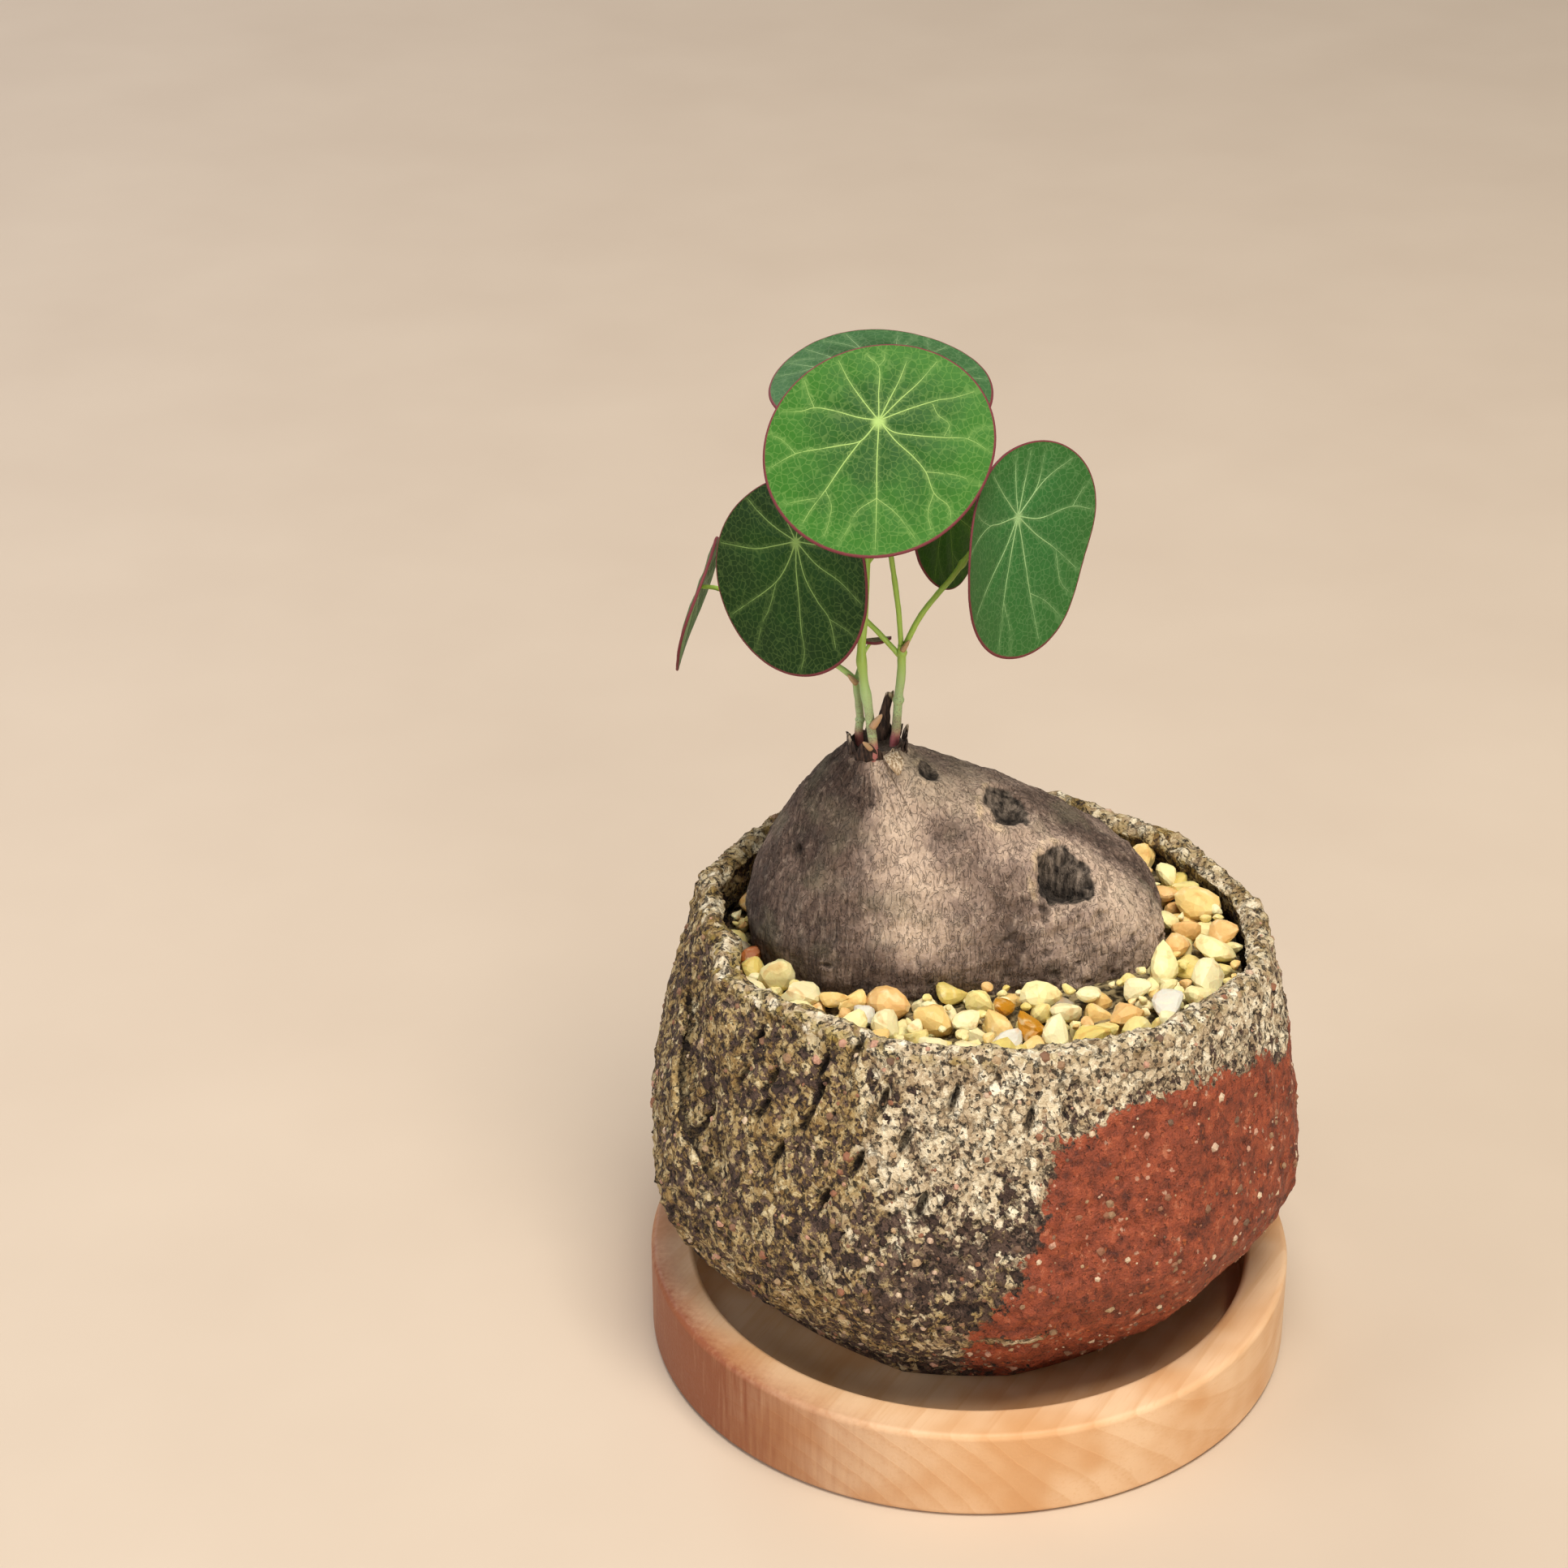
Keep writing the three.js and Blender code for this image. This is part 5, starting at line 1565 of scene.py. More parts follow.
    def bore(self, bark: Bark, pit: Pit, wobble: Array) -> None:
        """Sinks one pit, deepest at its lower left, with painted shade there and a painted highlight on the
        lip on its left.
        """
        away = self.patch(bark.points, pit.level, pit.azimuth, pit.across, pit.along) + wobble
        lean = self.lean(bark.points, pit)
        depth = smooth((1.05 - away) / 0.6) * (0.4 + 0.6 * smooth(0.6 - 0.8 * lean))
        bark.relief = bark.relief * np.where(away < 1.0, 0.6, 1.0) - pit.depth * depth
        bark.relief += 0.45 * bump(away, 1.15, 0.3)
        bark.scar = np.maximum(bark.scar, smooth((1.0 - away) / 0.16))
        bark.shade = np.maximum(bark.shade, smooth((1.0 - away) / 0.3) * smooth(0.45 - 0.9 * lean))
        middle = self.facing(pit.level, pit.azimuth)[0]
        left = smooth(0.3 - (bark.points[..., 0] - middle[0]) / pit.across)
        torn = smooth(1.5 * ripple(bark.points, 2.0, 76) + 0.3)
        bark.lip = np.maximum(bark.lip, bump(away, 1.14, 0.24) * left * torn)

    def mark(self, bark: Bark, wobble: Array) -> None:
        """Adds the small ring, knob and lenticel."""
        ring = self.patch(bark.points, *self.ring) + 1.5 * wobble
        bark.relief += 0.4 * bump(ring, 1.0, 0.35) - 0.45 * smooth(1.0 - ring)
        bark.cut(0.7 * smooth(1.1 - 1.6 * ring))
        knob = self.patch(bark.points, *self.knob) + 0.45 * rough(bark.points, 1.5, 79)
        bark.relief += 0.9 * smooth(1.3 - knob) - 1.3 * smooth(0.75 - knob) - 0.3 * bump(knob, 1.9, 0.5)
        bark.cut(smooth(1.5 * (1.1 - knob)))
        lenticel = self.patch(bark.points, *self.lenticel)
        bark.relief += 0.3 * bump(lenticel, 1.0, 0.4) - 0.4 * smooth(1.0 - lenticel)
        bark.cut(smooth(1.0 - lenticel))

    def fray(self, bark: Bark) -> None:
        """Covers the crown in old husk."""
        crown = smooth((bark.level - 112.5) / 5.0)
        husk = smooth(rough(bark.points * np.array([1.0, 1.0, 0.6]), 2.3, 77) * 0.9 + 0.2)
        bark.relief = bark.relief * (1.0 - 0.4 * crown) + crown * 0.5 * husk
        bark.cut(smooth((bark.level - 116.5) / 2.5) * (0.15 + 0.55 * husk))

    def warmth(self, bark: Bark) -> Array:
        """Painted light and shade on the bark: pale and warm most on the ridge that faces the front and
        near the top, darkest as painted shade on its left.
        """
        lit = bump(bark.side, -5.0, 24.0) * smooth((bark.level - 80.0) / 12.0)
        lit = lit + 0.75 * bump(bark.side, 50.0, 44.0)
        front = 1.0 - bark.back
        high = smooth((bark.level - 104.0) / 8.0) * smooth((bark.side + 24.0) / 20.0) * front
        warm = smooth(0.32 + 0.25 * rough(bark.points, 9.0, 78) + 0.5 * lit + 0.34 * high)
        return warm * (1.0 - 0.75 * smooth((-20.0 - bark.side) / 16.0) * front)

    def build(self) -> None:
        """Makes the tuber."""
        points, around, in_dish = self.grid()
        bark = self.bare_bark(points, around)
        wobble = 0.17 * rough(points, 2.6, 75)
        for pit in self.pits:
            self.bore(bark, pit, wobble)
        self.mark(bark, wobble)
        self.fray(bark)
        bark.cut(in_dish)
        share = smooth((bark.level - 74.0) / 4.0) * (1.0 - 0.8 * in_dish)
        relief = np.clip(bark.relief, -9.0, 2.2) * share
        surface = skin(points + ring_normals(points) * relief[..., None])
        values = {"groove": bark.groove, "scar": bark.scar, "lip": bark.lip, "shade": bark.shade,
                  "warmth": self.warmth(bark)}
        for name, value in values.items():
            surface.values[name] = spread(value, 2)
        settle("caudex_bark", surface.mesh("caudex_bark", [BarkFinish().make()]), Slot.BARK, "caudex")
        self.collar()

    def collar(self) -> None:
        """Makes the torn flaps of bark that ring the crown."""
        draw = np.random.default_rng(19)
        upward = np.array([0.0, 0.0, 1.0])
        steps = np.linspace(0.0, 1.0, 8)[:, None]
        flaps: list[Surface] = []
        for i in range(self.flap_count):
            turn = 2.0 * math.pi * (i + draw.uniform(-0.25, 0.25)) / self.flap_count
            out = np.array([math.cos(turn), math.sin(turn), 0.0])
            side = np.array([-math.sin(turn), math.cos(turn), 0.0])
            base = np.array(self.crown) + out * np.array([4.9, 4.1, 0.0]) * draw.uniform(0.85, 1.12)
            tall = draw.uniform(1.6, 4.2)
            lean = draw.uniform(-0.1, 0.75)
            path = (base - 1.6 * upward + steps * tall * upward + out * lean * tall * 0.5 * steps**2
                    + side * draw.uniform(-0.5, 0.5) * steps)
            width = draw.uniform(0.9, 1.7) * (1.0 - steps[:, 0] ** draw.uniform(1.6, 4.0) * 0.85)
            thin = 0.26 * (1.0 - 0.6 * steps[:, 0])
            flap = ribbon(path, side, out, width, thin, 0.35, 80 + i)
            age = 0.1 + 0.75 * draw.random() ** 2
            flap.values["torn"] = np.clip(age + 0.35 * (flap.points[:, 2] - base[2]) / tall, 0.0, 1.0)
            flaps.append(flap)
        flaps.append(self.peeled_flap())
        collar = sum(flaps[1:], start=flaps[0])
        settle("crown_collar", collar.mesh("crown_collar", [HuskFinish().make()]), Slot.BARK)

    def peeled_flap(self) -> Surface:
        """The tan flap that hangs down the front of the crown."""
        path = np.array([
            (-15.9, 5.0, 118.9), (-15.3, 3.6, 119.3), (-14.4, 2.2, 118.3), (-13.9, 1.3, 116.6)])
        width = np.array([0.7, 1.1, 1.5, 1.8, 1.9, 1.7, 1.3, 0.8, 0.3])
        wide, thick = np.array([0.86, 0.5, 0.0]), np.array([0.35, -0.6, 0.72])
        flap = ribbon(respaced(path, len(width)), wide, thick, width, np.full(len(width), 0.2), 0.4, 120)
        flap.values["torn"] = np.full(len(flap.points), 0.85)
        return flap


def ribbon(path: Array, wide: Array, thick: Array, widths: Array, thins: Array, tear: float,
           seed: int) -> Surface:
    """Makes a thin closed strip with ragged sides.

    Args:
        path: Points along its middle.
        wide: The direction of its width.
        thick: The direction of its thickness.
        widths: Its half-width at each point.
        thins: Its half-thickness at each point.
        tear: How ragged its sides are.
        seed: Which set of random numbers to use.

    Returns:
        The strip.
    """
    angles = np.linspace(0.0, 2.0 * math.pi, 12, endpoint=False)
    c, s = np.cos(angles)[None, :, None], np.sin(angles)[None, :, None]
    rings = path[:, None, :] + widths[:, None, None] * c * wide + thins[:, None, None] * s * thick
    ragged = tear * rough(rings, 1.1, seed, 2)[..., None] * np.array([0.3, 0.3, 1.0])
    rings = rings + ragged + 0.25 * ripple(rings, 1.6, seed + 1)[..., None] * thick
    flat = skin(rings)
    heading = path[-1] - path[0]
    if np.cross(wide, thick) @ heading < 0.0:
        flat.faces = [face[::-1] for face in flat.faces]
    return flat


@dataclass(frozen=True)
class OldStem:
    """The dead stub of last year's stem: a dark, split husk."""

    path: tuple[Point, ...] = ((-17.0, 11.9, 116.8), (-16.5, 11.7, 122.0), (-15.5, 11.4, 127.6))
    radii: tuple[float, float] = (1.45, 0.8)
    steps: int = 30
    sides: int = 26

    def build(self) -> None:
        """Makes the stub."""
        widths = np.linspace(*self.radii, self.steps)
        rings = sweep_rings(smooth_path(self.path, self.steps), widths, self.sides)
        ridge = rough(rings * np.array([1.0, 1.0, 0.2]), 0.9, 91, 3)
        rings = rings + ring_normals(rings) * (0.28 * ridge - 0.12)[..., None]
        top = smooth((np.arange(self.steps) - (self.steps - 6)) / 5.0)[:, None]
        rings[..., 2] += top * 1.1 * ripple(rings * np.array([1.0, 1.0, 0.0]), 0.7, 92)
        surface = skin(rings)
        surface.values["torn"] = spread(np.clip(0.15 + 0.5 * top + 0.35 * ridge, 0.0, 1.0), 2)
        husk = surface.mesh("old_stem_husk", [HuskFinish().make()])
        settle("old_stem_husk", husk, Slot.OLD_STEM, "old_stem")


# Shoots and leaves


@dataclass(frozen=True)
class Limb:
    """One stem or petiole: its points, its radius at both ends and the shares where it has a node."""

    points: tuple[Point, ...]
    radii: tuple[float, float]
    joints: tuple[float, ...] = ()
    steps: int = 70
    sides: int = 14

    def surface(self, crown: float) -> Surface:
        """Makes the limb as a tube."""
        path = smooth_path(self.points, self.steps)
        share = np.linspace(0.0, 1.0, self.steps)
        width = self.radii[0] + (self.radii[1] - self.radii[0]) * share
        for joint in self.joints:
            width = width + 0.24 * np.exp(-((share - joint) / 0.022) ** 2)
        rings = sweep_rings(path, width, self.sides)
        rings += 0.05 * ripple(rings, 1.3, 95)[..., None] * ring_normals(rings)
        tube = skin(rings)
        rise = spread(np.broadcast_to((path[:, 2] - crown)[:, None], (self.steps, self.sides)), 2)
        tube.values.update(rise=rise, bud=np.zeros(len(tube.points)))
        return tube


@dataclass(frozen=True)
class Bud:
    """A pointed bud or scale: its base, its tip and its half-width."""

    base: Point
    tip: Point
    width: float

    def surface(self, crown: float) -> Surface:
        """Makes the bud."""
        path = respaced(np.array([self.base, self.tip]), 9)
        share = np.linspace(0.0, 1.0, 9)
        rings = sweep_rings(path, self.width * np.sqrt(np.clip(1.0 - share**1.6, 0.02, 1.0)), 8)
        form = skin(rings)
        rise = form.points[:, 2] - crown
        form.values.update(rise=rise, bud=np.ones(len(form.points)))
        return form


@dataclass(frozen=True)
class Shoot:
    """A green shoot with its petioles and buds."""

    node: str
    limbs: tuple[Limb, ...]
    buds: tuple[Bud, ...] = ()
    crown: float = 118.5

    def build(self, finish: bpy.types.Material) -> None:
        """Makes the shoot as one piece."""
        parts = [part.surface(self.crown) for part in (*self.limbs, *self.buds)]
        whole = sum(parts[1:], start=parts[0])
        name = "shoot_" + self.node.removeprefix("stem_")
        settle(name, whole.mesh(name, [finish]), Slot.STEM, self.node)


@dataclass(frozen=True)
class Vein:
    """A vein: the angles and shares of the blade that it passes, and its half-width at both ends."""

    path: tuple[tuple[float, float], ...]
    widths: tuple[float, float] = (0.15, 0.06)

    def walk(self, spacing: float = 0.012) -> Array:
        """Evenly spaced points of the vein, as x and y shares of the outline's reach."""
        knots = [(share * math.cos(math.radians(angle)), share * math.sin(math.radians(angle)), 0.0)
                 for angle, share in self.path]
        length = sum(math.dist(a, b) for a, b in zip(knots, knots[1:]))
        return smooth_path(knots, max(4, int(length / spacing)))[:, :2]


def vein(start: float, *path: tuple[float, float]) -> Vein:
    """A vein that leaves the hub at the start's angle."""
    return Vein(((start, 0.03), *path))


def fork(*path: tuple[float, float]) -> Vein:
    """A finer vein from the side of another."""
    return Vein(path, (0.085, 0.045))


def peltate_veins(seed: int, count: int = 11, first: float = 0.0) -> tuple[Vein, ...]:
    """Lays veins out from the hub, each forked once, for a leaf whose own can't be seen."""
    draw = np.random.default_rng(seed)
    veins = []
    for i in range(count):
        angle = first + 360.0 * (i + draw.uniform(-0.18, 0.18)) / count
        bend = draw.uniform(-7.0, 7.0)
        veins.append(vein(angle, (angle, 0.3), (angle + bend, 0.6), (angle + 1.6 * bend, 0.97)))
        side = draw.choice((-1.0, 1.0))
        start = draw.uniform(0.5, 0.66)
        veins.append(fork((angle + bend * start / 0.6, start), (angle + bend + 7.0 * side, start + 0.15),
                          (angle + 2.0 * bend + 14.0 * side, 0.96)))
    return tuple(veins)


@dataclass(frozen=True)
class Leaf:
    """A peltate blade on the tip of its petiole, in the same terms as the solid that it stands for."""

    node: str
    slot: Slot
    finish: LeafFinish
    at: Point
    azimuth: float
    elevation: float
    half: tuple[float, float]
    centre: tuple[float, float]
    curl: Point
    wave: float
    lobes: tuple[tuple[int, float, float], ...] = ()
    roll: float = 0.0
    veins: tuple[Vein, ...] = ()
    thickness: float = 0.36
    net: float = 3.0
    columns: int = 160

    SHARES: ClassVar[tuple[float, ...]] = (
        *np.linspace(0.03, 0.93, 28), 0.955, 0.972, 0.984, 0.992, 0.997, 1.0)

    def place(self, turn: Array, share: Array) -> Array:
        """Points of the blade's plane, across and along it, for turns and shares of the outline."""
        swell = 1.0 + sum(amount * np.cos(count * (turn - math.radians(first)))
                          for count, amount, first in self.lobes)
        return np.stack([share * (self.centre[0] + self.half[0] * swell * np.cos(turn)),
                         share * (self.centre[1] + self.half[1] * swell * np.sin(turn))], axis=-1)

    def rise(self, flat: Array, share: Array, turn: Array) -> Array:
        """How far the blade stands over its plane."""
        left, right, lower = self.curl
        x, y = flat[..., 0], flat[..., 1]
        return (np.where(x < 0, left, right) * x * x + np.where(y < 0, lower * y * y, 0.0)
                + self.wave * share**2 * np.sin(3.0 * turn + self.at[0]))

    def reach(self, angle: Array) -> tuple[Array, Array]:
        """The outline's distance from the hub at an angle seen from it, and the turn that gives it."""
        turns = np.linspace(-math.pi, math.pi, 1441)
        edge = self.place(turns, np.ones_like(turns))
        seen = np.unwrap(np.arctan2(edge[:, 1], edge[:, 0]))
        lowest = seen[0]
        wrapped = (angle - lowest) % (2.0 * math.pi) + lowest
        return np.interp(wrapped, seen, np.hypot(edge[:, 0], edge[:, 1])), np.interp(wrapped, seen, turns)

    def on_blade(self, shares: Array) -> tuple[Array, Array]:
        """Carries x and y shares of the reach to the blade.

        Args:
            shares: Rows of x and y, where a length of 1 is the outline.

        Returns:
            Points of the blade's middle surface, and each one's share.
        """
        angle = np.arctan2(shares[:, 1], shares[:, 0])
        share = np.hypot(shares[:, 0], shares[:, 1])
        reach, turn = self.reach(angle)
        flat = np.stack([share * reach * np.cos(angle), share * reach * np.sin(angle)], axis=-1)
        return np.column_stack([flat, self.rise(flat, share, turn)]), share

    def to_world(self, points: Array) -> Array:
        """Turns the blade's own points to where it hangs."""
        azimuth, elevation, roll = (math.radians(a) for a in (self.azimuth, self.elevation, self.roll))
        face = np.array([math.cos(elevation) * math.cos(azimuth), math.cos(elevation) * math.sin(azimuth),
                         math.sin(elevation)])
        across = np.cross([0.0, 0.0, 1.0], face)
        across /= np.linalg.norm(across)
        upward = np.cross(face, across)
        side = across * math.cos(roll) + upward * math.sin(roll)
        top = -across * math.sin(roll) + upward * math.cos(roll)
        return np.array(self.at) + points @ np.array([side, top, face])

    def vein_points(self) -> list[tuple[Array, Array, Vein]]:
        """Every main vein on the blade, with the share at each of its points."""
        return [(*self.on_blade(one.walk()), one) for one in self.veins]

    def blade(self) -> Surface:
        """The lamina: thin, quilted between its veins and round at its margin."""
        turn = np.linspace(0.0, 2.0 * math.pi, self.columns, endpoint=False)
        shares = np.array(self.SHARES)
        flat = self.place(turn[None, :], shares[:, None])
        middle = self.rise(flat, shares[:, None], turn[None, :])
        spine = np.concatenate([points for points, _, _ in self.vein_points()])[:, :2]
        away = np.full(flat.shape[:2], 99.0)
        for start in range(0, len(spine), 200):
            gaps = np.linalg.norm(flat[:, :, None, :] - spine[None, None, start:start + 200, :], axis=-1)
            away = np.minimum(away, gaps.min(axis=-1))
        quilt = 0.22 * smooth(away / 2.4) * (1.0 - smooth((shares[:, None] - 0.82) / 0.16))
        edge = np.clip((shares - 0.984) / 0.016, 0.0, 1.0)
        swell = 1.0 + 0.5 * smooth((shares - 0.9) / 0.1)
        half = (0.5 * self.thickness * np.sqrt(1.0 - edge**2) * swell)[:, None]
        fine = 0.035 * ripple(np.dstack([flat, 0.0 * middle]), 1.4, 101)
        lift = middle + quilt + fine
        under, upper = (np.dstack([flat, lift + side * half]) for side in (-1.0, 1.0))
        surface = skin(np.concatenate([under, upper[:-1][::-1]]))
        across = np.broadcast_to(shares[:, None], away.shape)
        rows = {"share": (across, across), "back": (np.ones_like(away), np.zeros_like(away)),
                "from_vein": (away, away)}
        for name, (below, above) in rows.items():
            surface.values[name] = spread(np.concatenate([below, above[:-1][::-1]]), 2)
        surface.points = self.to_world(surface.points)
        return surface

    def net_edges(self) -> tuple[Array, Array]:
        """The fine net between the veins: corners as shares, and the pairs that are joined."""
        draw = np.random.default_rng(len(self.node) * 7 + int(abs(self.azimuth)))
        size = self.net / (0.5 * (self.half[0] + self.half[1]))
        steps = np.arange(-1.1, 1.1, size)
        grid = np.stack(np.meshgrid(steps, steps), axis=-1).reshape(-1, 2)
        grid = grid + draw.uniform(-0.42, 0.42, grid.shape) * size
        grid = grid[np.hypot(grid[:, 0], grid[:, 1]) < 1.04]
        _, _, cells, *_ = delaunay_2d_cdt([Vector(p) for p in grid.tolist()], [], [], 0, 1e-6)
        centres = np.array([grid[list(cell)].mean(axis=0) for cell in cells])
        sides: dict[tuple[int, int], list[int]] = {}
        for number, cell in enumerate(cells):
            for a, b in zip(cell, (*cell[1:], cell[0])):
                sides.setdefault((min(a, b), max(a, b)), []).append(number)
        reach = np.hypot(centres[:, 0], centres[:, 1])
        pairs = [pair for pair in sides.values() if len(pair) == 2 and reach[pair].max() < 0.975
                 and reach[pair].min() > 0.05]
        return centres, np.array(pairs)

    def ribs(self) -> bpy.types.Mesh:
        """The skeleton that the veins' tubes grow along, on the face and on the back."""
        runs = []
        for line, share, one in self.vein_points():
            walk = np.arange(len(line))
            girth = np.interp(walk / max(1, len(line) - 1), [0.0, 1.0], one.widths)
            weight = 1.0 if one.widths[0] > 0.1 else 0.85
            runs.append((line, np.column_stack([walk[:-1], walk[1:]]), share, girth, weight))
        centres, pairs = self.net_edges()
        line, share = self.on_blade(centres)
        runs.append((line, pairs, share, np.full(len(line), 0.045), 0.6))
        points: list[Array] = []
        edges: list[tuple[int, int]] = []
        values: dict[str, list[Array]] = {"share": [], "girth": [], "weight": []}
        count = 0
        for line, pairs, share, girth, weight in runs:
            for side in (1.0, -1.0):
                lift = side * (0.5 * self.thickness - 0.45 * girth)
                points.append(self.to_world(line + lift[:, None] * np.array([0.0, 0.0, 1.0])))
                edges.extend((pairs + count).tolist())
                values["share"].append(share)
                values["girth"].append(girth * (1.35 if side < 0.0 else 1.0) * MM)
                values["weight"].append(np.full(len(line), weight))
                count += len(line)
        mesh = bpy.data.meshes.new(self.node + "_skeleton")
        mesh.from_pydata((np.concatenate(points) * MM).tolist(), edges, [])
        for name, parts in values.items():
            store(mesh, name, np.concatenate(parts))
        return mesh

    def build(self, tree: "VeinTree") -> None:
        """Makes the blade and its veins."""
        blade = self.blade().mesh(self.node + "_blade", [self.finish.blade()])
        settle(self.node + "_blade", blade, self.slot, self.node)
        ribs = tree.dressed(self.finish.ribs()).grow(
            self.node + "_veins", self.ribs(), Sides=tree.sides)
        ribs.shade_smooth()
        settle(self.node + "_veins", ribs, self.slot, self.node)


@dataclass(frozen=True)
class VeinTree:
    """The rule that turns a skeleton of edges into tubes."""

    sides: int = 5

    def dressed(self, finish: bpy.types.Material) -> Growth:
        """Builds the tree with one leaf's vein finish."""
        tree = Growth("leaf_veins", {"Sides": self.sides})
        curves = tree.signal("GeometryNodeMeshToCurve", None, {0: tree.given("Geometry")})
        ring = tree.signal("GeometryNodeCurvePrimitiveCircle", None, {
            "Resolution": tree.given("Sides"), "Radius": 1.0})
        tube = tree.signal("GeometryNodeCurveToMesh", None, {
            "Curve": curves, "Profile Curve": ring, "Scale": tree.field("girth"), "Fill Caps": True})
        tree.close(tube, finish)
        return tree


# The plant's own numbers

SHOOTS = (
    Shoot("stem_front", (
        Limb(((-18.2, 5.6, 116.4), (-18.3, 5.0, 119.3), (-19.2, 5.0, 126.6), (-20.1, 5.2, 132.8),
              (-20.6, 5.8, 138.2), (-20.1, 7.2, 145.1), (-19.5, 12.0, 155.0), (-18.6, 18.0, 166.0),
              (-17.4, 25.0, 176.0), (-17.05, 27.45, 180.9)), (0.85, 0.5), (0.2, 0.29), 110),
        Limb(((-19.5, 11.0, 153.2), (-15.5, 16.0, 156.6), (-10.0, 18.4, 159.8), (-6.0, 16.3, 161.35)),
             (0.5, 0.4))),
        (Bud((-18.6, 4.2, 124.5), (-17.0, 3.4, 127.4), 0.75),
         Bud((-18.9, 4.2, 120.2), (-20.3, 2.8, 122.2), 0.6))),
    Shoot("stem_left", (
        Limb(((-20.6, 9.1, 116.6), (-20.9, 9.0, 121.2), (-20.7, 9.0, 123.7), (-21.1, 9.0, 127.9),
              (-21.6, 9.0, 131.8)), (0.8, 0.6), (0.45, 0.97)),
        Limb(((-21.4, 9.0, 131.2), (-23.3, 9.3, 132.9), (-30.0, 13.0, 136.0), (-39.0, 18.5, 140.2),
              (-45.6, 22.8, 142.6), (-48.7, 23.9, 142.55)), (0.55, 0.38)),
        Limb(((-21.5, 9.0, 131.3), (-20.9, 10.6, 132.6), (-19.8, 12.6, 135.0), (-18.8, 13.0, 136.7)),
             (0.4, 0.3), (), 30)),
        (Bud((-21.4, 8.4, 131.0), (-22.9, 7.8, 133.0), 0.6),)),
    Shoot("stem_right", (
        Limb(((-14.9, 9.1, 116.4), (-14.3, 9.0, 121.2), (-13.9, 9.0, 127.8), (-13.5, 9.0, 132.2),
              (-13.4, 9.0, 138.2)), (0.85, 0.75), (0.5, 0.93)),
        Limb(((-13.5, 9.0, 137.4), (-14.1, 9.0, 145.1), (-14.8, 9.0, 150.6), (-15.6, 8.6, 156.5),
              (-16.6, 6.8, 166.0), (-17.4, 3.8, 175.5), (-17.95, 0.3, 184.3)), (0.5, 0.42), (), 90),
        Limb(((-13.3, 9.0, 137.2), (-10.2, 9.4, 143.6), (-7.3, 9.8, 147.6), (-5.1, 10.0, 150.3),
              (-2.1, 10.0, 154.8), (2.2, 8.8, 160.6), (5.75, 5.15, 164.55)), (0.55, 0.42), (0.55,), 90),
        Limb(((-13.5, 9.0, 135.7), (-16.0, 9.6, 138.5), (-18.0, 10.2, 140.6), (-19.7, 10.8, 142.2),
              (-24.0, 10.6, 148.4), (-28.6, 7.6, 156.0), (-31.7, 3.15, 161.15)), (0.5, 0.42), (), 90)),
        (Bud((-13.3, 8.3, 137.5), (-12.2, 7.2, 140.0), 0.55),)),
)

